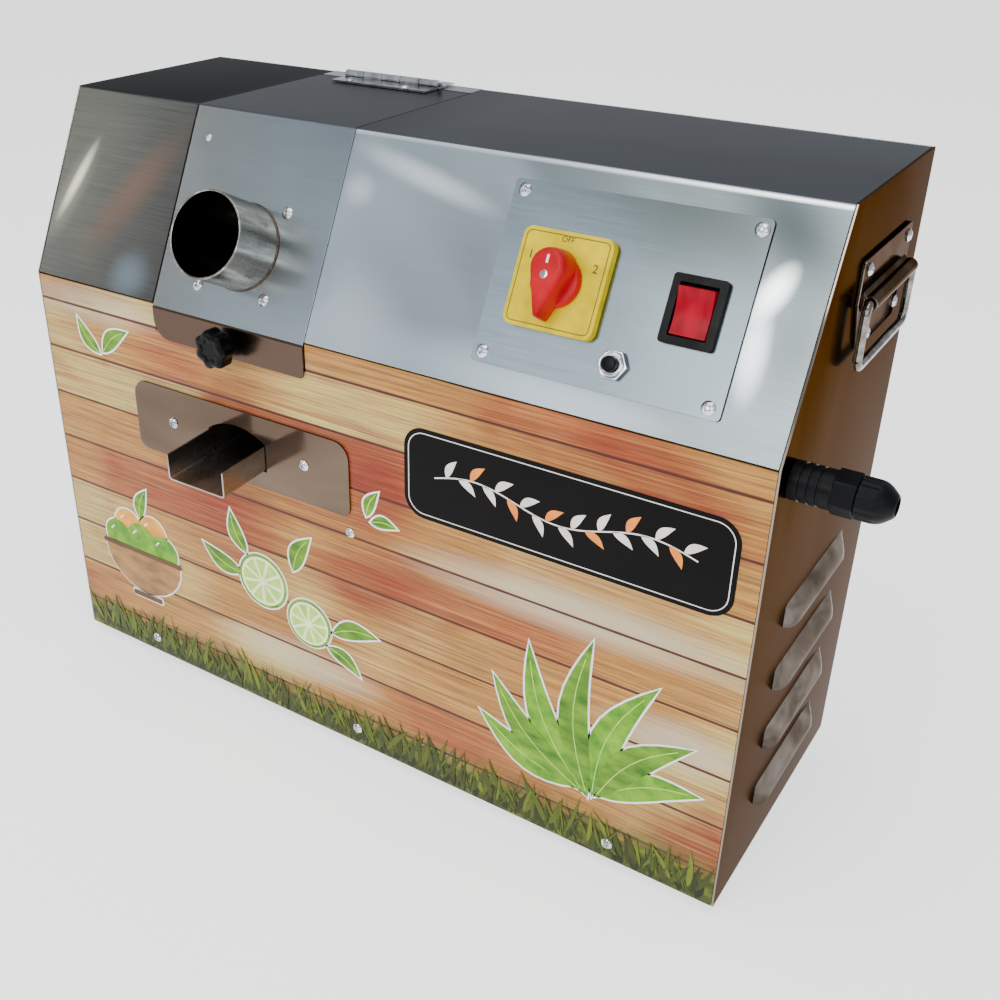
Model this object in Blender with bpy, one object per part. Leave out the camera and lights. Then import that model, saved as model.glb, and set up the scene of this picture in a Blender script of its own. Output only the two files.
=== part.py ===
# Electric table-top sugarcane juicer: a three-roller mill, its gear train and its geared motor
# in a folded stainless steel cabinet.
# All lengths are metres. The cabinet's own frame has its corner at the front, bottom left:
# X runs to the right, Y to the rear and Z up. CORNER moves it so that the whole part stands on
# the middle of its base at the world's origin.

import math

import bmesh
import bpy
from mathutils import Vector

# Cabinet
CABINET_WIDTH = 0.640
CABINET_DEPTH = 0.240
CABINET_HEIGHT = 0.493
SLOPE_RISE = 0.1395
SLOPE_RUN = 0.070
FRONT_HEIGHT = CABINET_HEIGHT - SLOPE_RISE
SHEET = 0.0015
GAP = 0.0003
SEAM = 0.0008
PAN_FLANGE = 0.020
FOOT_RADIUS = 0.014
FOOT_HEIGHT = 0.010
FOOT_INSET_X = 0.042
FOOT_INSET_Y = 0.024

# Louvres pressed into the side panels and the rear panel
LOUVRE_LENGTH = 0.120
LOUVRE_HEIGHT = 0.018
LOUVRE_REACH = 0.007
LOUVRE_WALL = 0.0012
LOUVRE_FIRST = 0.051
LOUVRE_PITCH = 0.0525
LOUVRE_COUNT = 4
SIDE_LOUVRE_Y = CABINET_DEPTH / 2
REAR_LOUVRE_INSET = 0.140
REAR_LOUVRE_X = CABINET_WIDTH - REAR_LOUVRE_INSET

# Lid, latch and hinge
LID_LEFT = 0.134
LID_WIDTH = 0.152
LIP_DEPTH = 0.0285
LIP_BOTTOM = FRONT_HEIGHT - LIP_DEPTH
LIP_OVERLAP = 0.005
HINGE_INSET = 0.020
HINGE_AXIS_Y = CABINET_DEPTH - HINGE_INSET
HINGE_LENGTH = 0.094
HINGE_KNUCKLES = 5
HINGE_KNUCKLE_RADIUS = 0.0034
HINGE_PIN_RADIUS = 0.0016
HINGE_LEAF_REACH = 0.018
HINGE_PLATE_RISE = 0.0002
LATCH_FROM_LEFT = 0.079
LATCH_X = LID_LEFT + LATCH_FROM_LEFT
LATCH_RISE = 0.013
LATCH_Z = LIP_BOTTOM + LATCH_RISE
KNOB_HUB_RADIUS = 0.008
KNOB_HUB_LENGTH = 0.007
KNOB_RADIUS = 0.0155
KNOB_THICKNESS = 0.015
KNOB_LOBES = 7
KNOB_HOLLOW = 0.00217
LATCH_SHAFT_RADIUS = 0.0035
TONGUE_REACH = 0.016
TONGUE_WIDTH = 0.009
TONGUE_THICKNESS = 0.003

# Feed pipe, on the slope of the lid
PIPE_ALONG = 0.057
PIPE_RADIUS = 0.03275
PIPE_WALL = 0.00175
PIPE_REACH = 0.044
PIPE_DEPTH = 0.030
PIPE_FLANGE = 0.084
PIPE_FLANGE_THICKNESS = 0.002

# Mill plates, rollers and bushes
MILL_PLATE = 0.010
PLATE_SETBACK = 0.0036
ROLLER_GEAR_GAP = 0.0007
ROLLER_RADIUS = 0.037
ROLLER_FLUTES = 20
FLUTE_DEPTH = 0.0015
ROLLER_END_GAP = 0.001
JOURNAL_RADIUS = 0.014
BUSH_RADIUS = 0.020
BUSH_FLANGE_RADIUS = 0.024
BUSH_FLANGE = 0.003
TOP_ROLLER_Y = 0.122
TOP_ROLLER_DROP = 0.0945
TOP_ROLLER_Z = CABINET_HEIGHT - TOP_ROLLER_DROP
FRONT_ROLLER_ANGLE = math.radians(26.6)
REAR_ROLLER_ANGLE = math.radians(48.5)

# Juice chute through the front panel, and the outlet plate round it
CHUTE_X = LATCH_X
CHUTE_WIDTH = 0.058
CHUTE_WALL = 0.0015
CHUTE_WALL_HEIGHT = 0.022
CHUTE_REACH = 0.050
CHUTE_DEPTH = 0.058
CHUTE_DROP = 0.1625
CHUTE_Z = TOP_ROLLER_Z - CHUTE_DROP
CHUTE_FALL = 0.052
OUTLET_CROWN = 0.0095
OUTLET_CLEARANCE = 0.0006
OUTLET_PLATE_WIDTH = 0.2215
OUTLET_PLATE_HEIGHT = 0.062
OUTLET_PLATE_LEFT = CHUTE_X - OUTLET_PLATE_WIDTH / 2
OUTLET_PLATE_BELOW = 0.016
OUTLET_PLATE_CORNER = 0.012

# Gears: stub teeth with a 20 degree pressure angle
PRESSURE_ANGLE = math.radians(20)
ADDENDUM = 0.8
DEDENDUM = 1.0
BACKLASH = 0.08
ROLLER_GEAR_TEETH = 19
MILL_MODULE = 0.004
MAIN_GEAR_TEETH = 40
LAY_PINION_TEETH = 14
LAY_GEAR_TEETH = 36
LAY_MODULE = 0.003
MOTOR_PINION_TEETH = 14
GEAR_WIDTH = 0.018
GEAR_SIDE_GAP = 0.0024
LAY_SHAFT_RADIUS = 0.012
LAY_SHAFT_ANGLE = math.radians(15)
MOTOR_SHAFT_ANGLE = math.radians(-25)
OUTPUT_SHAFT_RADIUS = 0.010
BEARING_PLATE = 0.008
BEARING_PLATE_FRONT = 0.050
BEARING_PLATE_REAR = 0.196
BEARING_PLATE_RISE = 0.05582
BEARING_FOOT = 0.030

# Geared motor
GEARBOX_LENGTH = 0.062
GEARBOX_WIDTH = 0.110
GEARBOX_CORNER = 0.020
GEARBOX_MARGIN = 0.050
MOTOR_DROP = 0.062
MOTOR_RADIUS = 0.062
MOTOR_END_GAP = 0.0446
MOTOR_RIBS = 24
RIB_DEPTH = 0.003
COWL_LENGTH = 0.036
COWL_INSET = 0.006
COWL_CHAMFER = 0.009
STAND_LENGTH = 0.110
STAND_WALL = 0.005
STAND_HALF_WIDTH = 0.052
SADDLE_HALF_WIDTH = 0.0416

# Juice tray, strainer, trash plate and waste chute
TRAY_WALL = 0.0015
TRAY_FRONT = 0.062
TRAY_REAR_GAP = 0.012
TRAY_REAR = CABINET_DEPTH - TRAY_REAR_GAP
TRAY_DEPTH = 0.024
TRAY_RISE = 0.0065
TRAY_Z = CHUTE_Z + TRAY_RISE
TRAY_TILT = math.radians(6)
TRAY_SIDE_GAP = 0.0006
SPOUT_WIDTH = 0.050
SPOUT_REACH = 0.010
STRAINER_FROM = 0.004
STRAINER_LENGTH = 0.090
STRAINER_THICKNESS = 0.0012
STRAINER_SLOTS = 9
SLOT_WIDTH = 0.005
SLOT_LENGTH = 0.074
TRASH_GAP = 0.006
TRASH_FRONT_ANGLE = math.radians(-3)
TRASH_REAR_ANGLE = math.radians(25)
TRASH_STEM = 0.008
TRASH_STEM_LENGTH = 0.037
WASTE_SCRAPER_ANGLE = math.radians(50)
WASTE_SCRAPER_GAP = 0.0035
WASTE_FALL = 0.008
WASTE_SHEET = 0.002
WASTE_SKIRT = 0.014
WASTE_OPENING_DROP = 0.0325
WASTE_OPENING_BOTTOM = TOP_ROLLER_Z - WASTE_OPENING_DROP
WASTE_OPENING_HEIGHT = 0.070
WASTE_OPENING_MARGIN = 0.006
WASTE_OPENING_CORNER = 0.008

# Controls on the slope: places along X and up the slope
CONTROL_WIDTH = 0.174
CONTROL_INSET = 0.043
CONTROL_RIGHT = CABINET_WIDTH - CONTROL_INSET
CONTROL_LEFT = CONTROL_RIGHT - CONTROL_WIDTH
CONTROL_BOTTOM = 0.018
CONTROL_TOP = 0.140
CONTROL_CORNER = 0.003
SWITCH_FROM_LEFT = 0.051
SWITCH_X = CONTROL_LEFT + SWITCH_FROM_LEFT
SWITCH_ALONG = 0.0785
SWITCH_PLATE = 0.064
SWITCH_PLATE_THICKNESS = 0.007
SWITCH_PLATE_CORNER = 0.006
SWITCH_BODY = 0.046
SWITCH_BODY_DEPTH = 0.045
SWITCH_NECK_RADIUS = 0.011
SWITCH_BASE_RADIUS = 0.0175
SWITCH_BASE_HEIGHT = 0.006
SWITCH_HANDLE_HEIGHT = 0.021
SWITCH_HEAD_RADIUS = 0.012
SWITCH_HEAD_REACH = 0.026
SWITCH_TAIL_RADIUS = 0.003
SWITCH_TAIL_REACH = 0.027
SWITCH_SPINDLE_RADIUS = 0.004
SWITCH_SPINDLE_DEPTH = 0.012
ROCKER_FROM_LEFT = 0.1415
ROCKER_X = CONTROL_LEFT + ROCKER_FROM_LEFT
ROCKER_ALONG = 0.078
ROCKER_BEZEL_WIDTH = 0.035
ROCKER_BEZEL_HEIGHT = 0.043
ROCKER_BEZEL_RISE = 0.004
ROCKER_BODY_DEPTH = 0.026
ROCKER_RIM = 0.005
ROCKER_BODY_WIDTH = 0.029
ROCKER_BODY_HEIGHT = 0.038
ROCKER_CAVITY = 0.012
ROCKER_KEY_GAP = 0.0008
ROCKER_SWING_GAP = 0.0017
ROCKER_KEY_END = 0.006
ROCKER_KEY_MIDDLE = 0.0035
ROCKER_KEY_DEPTH = 0.004
ROCKER_TILT = math.radians(9)
RESET_FROM_LEFT = 0.100
RESET_X = CONTROL_LEFT + RESET_FROM_LEFT
RESET_ALONG = 0.0363
RESET_NUT_FLATS = 0.018
RESET_NUT_THICKNESS = 0.004
RESET_NECK_RADIUS = 0.0075
RESET_BODY_RADIUS = 0.012
RESET_BODY_DEPTH = 0.030
RESET_BUTTON_RADIUS = 0.005
RESET_NECK_RISE = 0.0015
RESET_BUTTON_RISE = 0.005
RESET_BUTTON_DEPTH = 0.009
RESET_TRAVEL = 0.003

# Cable gland in the right side panel
GLAND_Y = 0.024
GLAND_DROP = 0.0155
GLAND_Z = FRONT_HEIGHT - GLAND_DROP
GLAND_SLEEVE_RADIUS = 0.0125
GLAND_SLEEVE = 0.026
GLAND_COLLAR_RADIUS = 0.0145
GLAND_COLLAR = 0.014
GLAND_NUT_RADIUS = 0.0135
GLAND_REACH = 0.062
GLAND_THREAD_RADIUS = 0.010
GLAND_THREAD = 0.010
GLAND_BORE_RADIUS = 0.0055
DOME_TIP_RADIUS = 0.0084
DOME_SHOULDER_RADIUS = 0.0119
DOME_SHOULDER = 0.0044
DOME_LENGTH = 0.011

# Carry handles
HANDLE_Y = 0.153
HANDLE_DROP = 0.069
HANDLE_Z = CABINET_HEIGHT - HANDLE_DROP
HANDLE_PLATE_WIDTH = 0.106
HANDLE_PLATE_FOOT = 0.080
HANDLE_PLATE_ABOVE = 0.028
HANDLE_PLATE_BELOW = 0.034
HANDLE_PLATE = 0.002
HANDLE_AXIS_OFFSET = 0.007
BARREL_RADIUS = 0.005
BARREL_BORE = 0.0036
BARREL_LENGTH = 0.092
BAIL_WIRE_RADIUS = 0.003
BAIL_WIDTH = 0.104
BAIL_DROP = 0.041
BAIL_BEND = 0.005
BAIL_PIN = 0.016

ROUND = 20
SMALL_ROUND = 12
PIPE_ROUND = 32
SLOPE_ANGLE = math.atan2(SLOPE_RISE, SLOPE_RUN)
LID_RIGHT = LID_LEFT + LID_WIDTH
LID_X = (LID_LEFT + LID_RIGHT) / 2
LEFT_PLATE_X = LID_LEFT
RIGHT_PLATE_X = LID_RIGHT - MILL_PLATE
MILL_LEFT = LEFT_PLATE_X + MILL_PLATE
MILL_RIGHT = RIGHT_PLATE_X
HANDLE_REACH = HANDLE_AXIS_OFFSET + BARREL_RADIUS
CORNER = Vector((
    -(CABINET_WIDTH + GLAND_REACH - HANDLE_REACH) / 2,
    -(CABINET_DEPTH + LOUVRE_REACH - CHUTE_REACH) / 2,
    FOOT_HEIGHT,
))

for old in list(bpy.data.objects):
    bpy.data.objects.remove(old, do_unlink=True)


def empty(name, parent=None, location=(0, 0, 0), rotation=(0, 0, 0)):
    """A frame that pieces are placed in."""
    frame = bpy.data.objects.new(name, None)
    bpy.context.scene.collection.objects.link(frame)
    frame.parent = parent
    frame.location = location
    frame.rotation_euler = rotation
    return frame


cabinet_frame = empty("cabinet_frame", location=CORNER)
slope_frame = empty("slope_frame", cabinet_frame, (0, 0, FRONT_HEIGHT), (SLOPE_ANGLE, 0, 0))


def finish(name, color, metallic, roughness):
    """A plain material: the colour, metal and roughness of one finish."""
    material = bpy.data.materials.new(name)
    material.use_nodes = True
    shader = material.node_tree.nodes["Principled BSDF"]
    shader.inputs["Base Color"].default_value = (*color, 1)
    shader.inputs["Metallic"].default_value = metallic
    shader.inputs["Roughness"].default_value = roughness
    material.diffuse_color = (*color, 1)
    return material


BRUSHED = finish("brushed_stainless", (0.56, 0.60, 0.63), 1, 0.32)
POLISHED = finish("polished_stainless", (0.50, 0.45, 0.40), 1, 0.12)
PRINTED = finish("printed_front", (0.62, 0.38, 0.20), 0, 0.35)
CHROME = finish("chrome", (0.75, 0.75, 0.76), 1, 0.08)
STEEL = finish("machined_steel", (0.45, 0.45, 0.46), 1, 0.35)
PAINTED = finish("painted_casting", (0.10, 0.22, 0.34), 0, 0.45)
BRONZE = finish("bronze", (0.58, 0.36, 0.14), 1, 0.35)
BLACK = finish("black_plastic", (0.015, 0.015, 0.017), 0, 0.40)
YELLOW = finish("yellow_plastic", (0.85, 0.75, 0.02), 0, 0.30)
RED = finish("red_plastic", (0.70, 0.02, 0.03), 0, 0.25)
RUBBER = finish("clear_rubber", (0.75, 0.75, 0.70), 0, 0.55)


def keep(name, bm, material=None, parent=cabinet_frame, location=(0, 0, 0), rotation=(0, 0, 0)):
    """Turn a bmesh into an object of one material, with its flat and round faces shaded apart."""
    bmesh.ops.recalc_face_normals(bm, faces=bm.faces)
    mesh = bpy.data.meshes.new(name)
    bm.to_mesh(mesh)
    bm.free()
    mesh.shade_smooth()
    mesh.set_sharp_from_angle(angle=math.radians(32))
    piece = bpy.data.objects.new(name, mesh)
    bpy.context.scene.collection.objects.link(piece)
    piece.parent = parent
    piece.location = location
    piece.rotation_euler = rotation
    if material:
        mesh.materials.append(material)
    return piece


def hide(tool):
    """Mark an object as a cutter or a filler, which is no piece of its own."""
    tool.hide_render = True
    tool.display_type = "WIRE"
    return tool


def combine(piece, tool, operation):
    """Cut a tool out of a piece, or join it on."""
    hide(tool)
    step = piece.modifiers.new(tool.name, "BOOLEAN")
    step.operation = operation
    step.object = tool
    step.solver = "EXACT"
    return piece


def cut(piece, tool):
    return combine(piece, tool, "DIFFERENCE")


def join(piece, tool):
    return combine(piece, tool, "UNION")


def box(low, high):
    """A block between two corners."""
    bm = bmesh.new()
    bmesh.ops.create_cube(bm, size=1)
    size = [b - a for a, b in zip(low, high)]
    middle = [(a + b) / 2 for a, b in zip(low, high)]
    bmesh.ops.scale(bm, vec=size, verts=bm.verts)
    bmesh.ops.translate(bm, vec=middle, verts=bm.verts)
    return bm


AXES = {
    "X": lambda along, first, second: (along, first, second),
    "Y": lambda along, first, second: (first, along, second),
    "Z": lambda along, first, second: (first, second, along),
}


def prism(outlines, start, end, axis):
    """Extrude an outline along an axis. Outlines after the first are holes through it.

    Points are (Y, Z) along X, (X, Z) along Y and (X, Y) along Z.
    """
    place = AXES[axis]
    bm = bmesh.new()
    edges = []
    for outline in outlines:
        loop = [bm.verts.new(place(start, *point)) for point in outline]
        edges += [bm.edges.new(pair) for pair in zip(loop, loop[1:] + loop[:1])]
    bmesh.ops.triangle_fill(bm, use_beauty=True, use_dissolve=False, edges=edges)
    grown = bmesh.ops.extrude_face_region(bm, geom=bm.faces[:])
    verts = [item for item in grown["geom"] if isinstance(item, bmesh.types.BMVert)]
    bmesh.ops.translate(bm, vec=place(end - start, 0, 0), verts=verts)
    return bm


def circle(center, radius, count=ROUND, turn=0.0):
    """Points of a round outline."""
    return [(center[0] + radius * math.cos(turn + 2 * math.pi * i / count),
             center[1] + radius * math.sin(turn + 2 * math.pi * i / count)) for i in range(count)]


def rectangle(left, right, bottom, top, corner=0.0, steps=3):
    """An upright rectangle, with rounded corners where a radius is given."""
    if not corner:
        return [(left, bottom), (right, bottom), (right, top), (left, top)]
    points = []
    centers = [(right - corner, bottom + corner, -90), (right - corner, top - corner, 0),
               (left + corner, top - corner, 90), (left + corner, bottom + corner, 180)]
    for x, z, first in centers:
        for step in range(steps + 1):
            angle = math.radians(first + 90 * step / steps)
            points.append((x + corner * math.cos(angle), z + corner * math.sin(angle)))
    return points


def turned(profile, count, axis, center=(0, 0)):
    """Turn a closed profile of (along, radius) points round an axis. Radius 0 closes at a point."""
    place = AXES[axis]
    bm = bmesh.new()
    rings = []
    for along, radius in profile:
        if radius == 0:
            rings.append([bm.verts.new(place(along, *center))])
        else:
            rings.append([bm.verts.new(place(along, *point)) for point in circle(center, radius, count)])
    solid = profile[0][1] == 0
    pairs = zip(rings, rings[1:]) if solid else zip(rings, rings[1:] + rings[:1])
    for ring, other in pairs:
        for i in range(count):
            j = (i + 1) % count
            if len(ring) == 1:
                bm.faces.new((ring[0], other[j], other[i]))
            elif len(other) == 1:
                bm.faces.new((ring[i], ring[j], other[0]))
            else:
                bm.faces.new((ring[i], ring[j], other[j], other[i]))
    return bm


def offset_path(points, distance):
    """Move an open path sideways, to the right of its direction, with mitred bends."""
    normals = []
    for a, b in zip(points, points[1:]):
        run, rise = b[0] - a[0], b[1] - a[1]
        length = math.hypot(run, rise)
        normals.append((rise / length, -run / length))
    moved = []
    for i, point in enumerate(points):
        before = normals[max(i - 1, 0)]
        after = normals[min(i, len(normals) - 1)]
        spread = 1 + before[0] * after[0] + before[1] * after[1]
        moved.append((point[0] + distance * (before[0] + after[0]) / spread,
                      point[1] + distance * (before[1] + after[1]) / spread))
    return moved


def bent_sheet(path, thickness, start, end):
    """A folded sheet: its outer face follows the path in (Y, Z), its inner face lies to the right."""
    return prism([path + offset_path(path, thickness)[::-1]], start, end, "X")


# Cabinet skins. The front, top, rear and base sheets fit between the two side panels.

def cabinet_outline():
    """The side panel's outline in (Y, Z): straight front, sloped fascia, flat top."""
    return [(0, 0), (CABINET_DEPTH, 0), (CABINET_DEPTH, CABINET_HEIGHT),
            (SLOPE_RUN, CABINET_HEIGHT), (0, FRONT_HEIGHT)]


SKIN_LEFT = SHEET + GAP
SKIN_RIGHT = CABINET_WIDTH - SHEET - GAP
REAR_FACE = CABINET_DEPTH - SHEET
TOP_FACE = CABINET_HEIGHT - SHEET
COVER_REAR = REAR_FACE - GAP
NOTCH_BOTTOM = LIP_BOTTOM + LIP_OVERLAP
LOUVRE_HEIGHTS = [LOUVRE_FIRST + i * LOUVRE_PITCH for i in range(LOUVRE_COUNT)]


def louvre_wedges(name, out, along_axis, middle, inside, face, outside):
    """Every hood of one panel, or every throat where inside is the hood's wall.

    Each is a wedge that starts flush at its top edge and stands out furthest at its lower edge.
    """
    bm = bmesh.new()
    half = LOUVRE_LENGTH / 2 - inside
    for bottom in LOUVRE_HEIGHTS:
        top = bottom + LOUVRE_HEIGHT - inside * 2
        low = bottom - inside
        reach = outside - inside
        outline = [(face, low), (face + out * reach, low), (face, top)]
        if inside:
            outline = [(face - out * 2 * SHEET, low), (face + out * reach, low),
                       (face, top), (face - out * 2 * SHEET, top)]
        ends = []
        for end in (middle - half, middle + half):
            corners = [(d, end, z) if along_axis == "Y" else (end, d, z) for d, z in outline]
            ends.append([bm.verts.new(corner) for corner in corners])
        bm.faces.new(ends[0])
        bm.faces.new(ends[1][::-1])
        for i in range(len(outline)):
            j = (i + 1) % len(outline)
            bm.faces.new((ends[0][j], ends[0][i], ends[1][i], ends[1][j]))
    return keep(name, bm)


def add_louvres(panel, out, along_axis, middle, face):
    """Press a column of louvres into a panel: hoods joined on, throats cut through."""
    root = face - out * SHEET / 2
    tip = LOUVRE_REACH + SHEET / 2
    join(panel, louvre_wedges(panel.name + "_hoods", out, along_axis, middle, 0.0, root, tip))
    cut(panel, louvre_wedges(panel.name + "_throats", out, along_axis, middle, LOUVRE_WALL, root, tip))


def side_panel(name, start, out, face):
    panel = keep(name, prism([cabinet_outline()], start, start + SHEET, "X"), POLISHED)
    add_louvres(panel, out, "Y", SIDE_LOUVRE_Y, face)
    return panel


left_side_panel = side_panel("left_side_panel", 0, -1, 0)
right_side_panel = side_panel("right_side_panel", CABINET_WIDTH - SHEET, 1, CABINET_WIDTH)
gland_hole = turned([(CABINET_WIDTH - 2 * SHEET, 0), (CABINET_WIDTH - 2 * SHEET, GLAND_THREAD_RADIUS + GAP),
                     (CABINET_WIDTH + SHEET, GLAND_THREAD_RADIUS + GAP), (CABINET_WIDTH + SHEET, 0)],
                    ROUND, "X", (GLAND_Y, GLAND_Z))
cut(right_side_panel, keep("gland_hole", gland_hole))

base_pan = keep("base_pan", box((SKIN_LEFT, SKIN_LEFT, 0), (SKIN_RIGHT, COVER_REAR, PAN_FLANGE)), STEEL)
cut(base_pan, keep("base_pan_inside", box(
    (SKIN_LEFT + SHEET, SKIN_LEFT + SHEET, SHEET),
    (SKIN_RIGHT - SHEET, COVER_REAR - SHEET, PAN_FLANGE + SHEET))))

OUTLET_BOTTOM = CHUTE_Z - OUTLET_CLEARANCE
OUTLET_SHOULDER = CHUTE_Z + CHUTE_WALL_HEIGHT + OUTLET_CLEARANCE


def outlet_outline(steps=8):
    """The juice outlet's opening: straight sides under a shallow arch."""
    half = CHUTE_WIDTH / 2 + OUTLET_CLEARANCE
    radius = (half ** 2 + OUTLET_CROWN ** 2) / (2 * OUTLET_CROWN)
    arch_center = OUTLET_SHOULDER + OUTLET_CROWN - radius
    sweep = math.asin(half / radius)
    points = [(CHUTE_X - half, OUTLET_BOTTOM), (CHUTE_X + half, OUTLET_BOTTOM)]
    for step in range(steps + 1):
        angle = sweep - 2 * sweep * step / steps
        points.append((CHUTE_X + radius * math.sin(angle), arch_center + radius * math.cos(angle)))
    return points


front_top = FRONT_HEIGHT - SHEET
front_outline = [(SKIN_LEFT, 0), (SKIN_RIGHT, 0), (SKIN_RIGHT, front_top), (LID_RIGHT, front_top),
                 (LID_RIGHT, NOTCH_BOTTOM), (LID_LEFT, NOTCH_BOTTOM), (LID_LEFT, front_top),
                 (SKIN_LEFT, front_top)]
front_panel = keep("front_panel", prism([front_outline, outlet_outline()], 0, SHEET, "Y"), PRINTED)

WASTE_OPENING_TOP = WASTE_OPENING_BOTTOM + WASTE_OPENING_HEIGHT
waste_opening = rectangle(MILL_LEFT + WASTE_OPENING_MARGIN, MILL_RIGHT - WASTE_OPENING_MARGIN,
                          WASTE_OPENING_BOTTOM, WASTE_OPENING_TOP, WASTE_OPENING_CORNER)
rear_outline = rectangle(SKIN_LEFT, SKIN_RIGHT, 0, CABINET_HEIGHT)
rear_panel = keep("rear_panel", prism([rear_outline, waste_opening], REAR_FACE, CABINET_DEPTH, "Y"),
                  BRUSHED)
join(rear_panel, keep("rear_panel_hinge_tab", box(
    (LID_LEFT + SEAM, HINGE_AXIS_Y + SEAM, TOP_FACE),
    (LID_RIGHT - SEAM, REAR_FACE + SHEET / 2, CABINET_HEIGHT))))
add_louvres(rear_panel, 1, "X", REAR_LOUVRE_X, CABINET_DEPTH)

cover_path = [(0, FRONT_HEIGHT), (SLOPE_RUN, CABINET_HEIGHT), (COVER_REAR, CABINET_HEIGHT)]
left_top_cover = keep("left_top_cover", bent_sheet(cover_path, SHEET, SKIN_LEFT, LID_LEFT), BRUSHED)
right_top_cover = keep("right_top_cover", bent_sheet(cover_path, SHEET, LID_RIGHT, SKIN_RIGHT), BRUSHED)

for side, x in (("left", FOOT_INSET_X), ("right", CABINET_WIDTH - FOOT_INSET_X)):
    for end, y in (("front", FOOT_INSET_Y), ("rear", CABINET_DEPTH - FOOT_INSET_Y)):
        foot = turned([(-GAP, 0), (-GAP, FOOT_RADIUS), (-FOOT_HEIGHT, FOOT_RADIUS - 2 * SHEET),
                       (-FOOT_HEIGHT, 0)], SMALL_ROUND, "Z")
        keep("foot_" + end + "_" + side, foot, RUBBER, location=(x, y, 0))


# Lid over the mill, its latch, hinge and feed pipe. They turn together about the hinge's pin.

HINGE_AXIS_Z = CABINET_HEIGHT + GAP + HINGE_KNUCKLE_RADIUS
hinge_frame = empty("lid_hinge_axis", cabinet_frame, (LID_X, HINGE_AXIS_Y, HINGE_AXIS_Z))
lid_frame = empty("lid_frame", hinge_frame, (-LID_X, -HINGE_AXIS_Y, -HINGE_AXIS_Z))
lid_slope_frame = empty("lid_slope_frame", lid_frame, (0, 0, FRONT_HEIGHT), (SLOPE_ANGLE, 0, 0))

lip_face = -(SHEET + GAP)
lip_top = FRONT_HEIGHT + lip_face * SLOPE_RISE / SLOPE_RUN
lid_path = [(lip_face, LIP_BOTTOM), (lip_face, lip_top), (SLOPE_RUN, CABINET_HEIGHT),
            (HINGE_AXIS_Y - SEAM, CABINET_HEIGHT)]
crusher_lid = keep("crusher_lid", bent_sheet(lid_path, SHEET, LID_LEFT + SEAM, LID_RIGHT - SEAM),
                   BRUSHED, lid_frame)
pipe_hole_radius = PIPE_RADIUS + GAP
pipe_hole = turned([(-3 * SHEET, 0), (-3 * SHEET, pipe_hole_radius),
                    (SHEET, pipe_hole_radius), (SHEET, 0)], PIPE_ROUND, "Z")
cut(crusher_lid, keep("pipe_hole", pipe_hole, None, lid_slope_frame, (LID_X, PIPE_ALONG, 0)))
latch_hole = turned([(-SHEET, 0), (-SHEET, LATCH_SHAFT_RADIUS + GAP), (2 * SHEET, LATCH_SHAFT_RADIUS + GAP),
                     (2 * SHEET, 0)], SMALL_ROUND, "Y")
cut(crusher_lid, keep("latch_hole", latch_hole, None, lid_frame, (LATCH_X, lip_face, LATCH_Z)))

flange_face = -(SHEET + GAP)
pipe_bore = PIPE_RADIUS - PIPE_WALL
feed_pipe = keep("feed_pipe", turned([
    (-PIPE_DEPTH, PIPE_RADIUS), (PIPE_REACH, PIPE_RADIUS),
    (PIPE_REACH, pipe_bore), (-PIPE_DEPTH, pipe_bore)],
    PIPE_ROUND, "Z"), BRUSHED, lid_slope_frame, (LID_X, PIPE_ALONG, 0))
half_flange = PIPE_FLANGE / 2
pipe_flange = prism([rectangle(-half_flange, half_flange, -half_flange, half_flange),
                     circle((0, 0), PIPE_RADIUS - PIPE_WALL / 2, PIPE_ROUND)],
                    flange_face - PIPE_FLANGE_THICKNESS, flange_face, "Z")
join(feed_pipe, keep("pipe_flange", pipe_flange, None, lid_slope_frame, (LID_X, PIPE_ALONG, 0)))

latch_frame = empty("latch_axis", lid_frame, (LATCH_X, lip_face, LATCH_Z))


def lobed_outline(radius, hollow, lobes, steps=4):
    """A star knob's grip: round lobes with shallow hollows between them."""
    points = []
    for i in range(lobes * steps):
        depth = (1 - math.cos(2 * math.pi * i / steps)) / 2
        angle = 2 * math.pi * i / (lobes * steps)
        reach = radius - hollow * depth
        points.append((reach * math.cos(angle), reach * math.sin(angle)))
    return points


latch_knob = keep("latch_knob", prism([lobed_outline(KNOB_RADIUS, KNOB_HOLLOW, KNOB_LOBES)],
                                      -GAP - KNOB_HUB_LENGTH - KNOB_THICKNESS, -GAP - KNOB_HUB_LENGTH, "Y"),
                  BLACK, latch_frame)
join(latch_knob, keep("knob_hub", turned([
    (-GAP, 0), (-GAP, KNOB_HUB_RADIUS), (-GAP - KNOB_HUB_LENGTH - SHEET, KNOB_HUB_RADIUS),
    (-GAP - KNOB_HUB_LENGTH - SHEET, 0)], SMALL_ROUND, "Y"), None, latch_frame))
shaft_seat = KNOB_HUB_LENGTH
cut(latch_knob, keep("knob_bore", turned([
    (SHEET, 0), (SHEET, LATCH_SHAFT_RADIUS + GAP), (-shaft_seat - GAP, LATCH_SHAFT_RADIUS + GAP),
    (-shaft_seat - GAP, 0)], SMALL_ROUND, "Y"), None, latch_frame))

tongue_front = SHEET + GAP - lip_face
latch_tongue = keep("latch_tongue", prism([rectangle(
    -TONGUE_WIDTH / 2, TONGUE_REACH, -TONGUE_WIDTH / 2, TONGUE_WIDTH / 2)],
    tongue_front, tongue_front + TONGUE_THICKNESS, "Y"), STEEL, latch_frame)
join(latch_tongue, keep("latch_shaft", turned([
    (-shaft_seat, 0), (-shaft_seat, LATCH_SHAFT_RADIUS), (tongue_front + SHEET, LATCH_SHAFT_RADIUS),
    (tongue_front + SHEET, 0)], SMALL_ROUND, "Y"), None, latch_frame))


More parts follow.
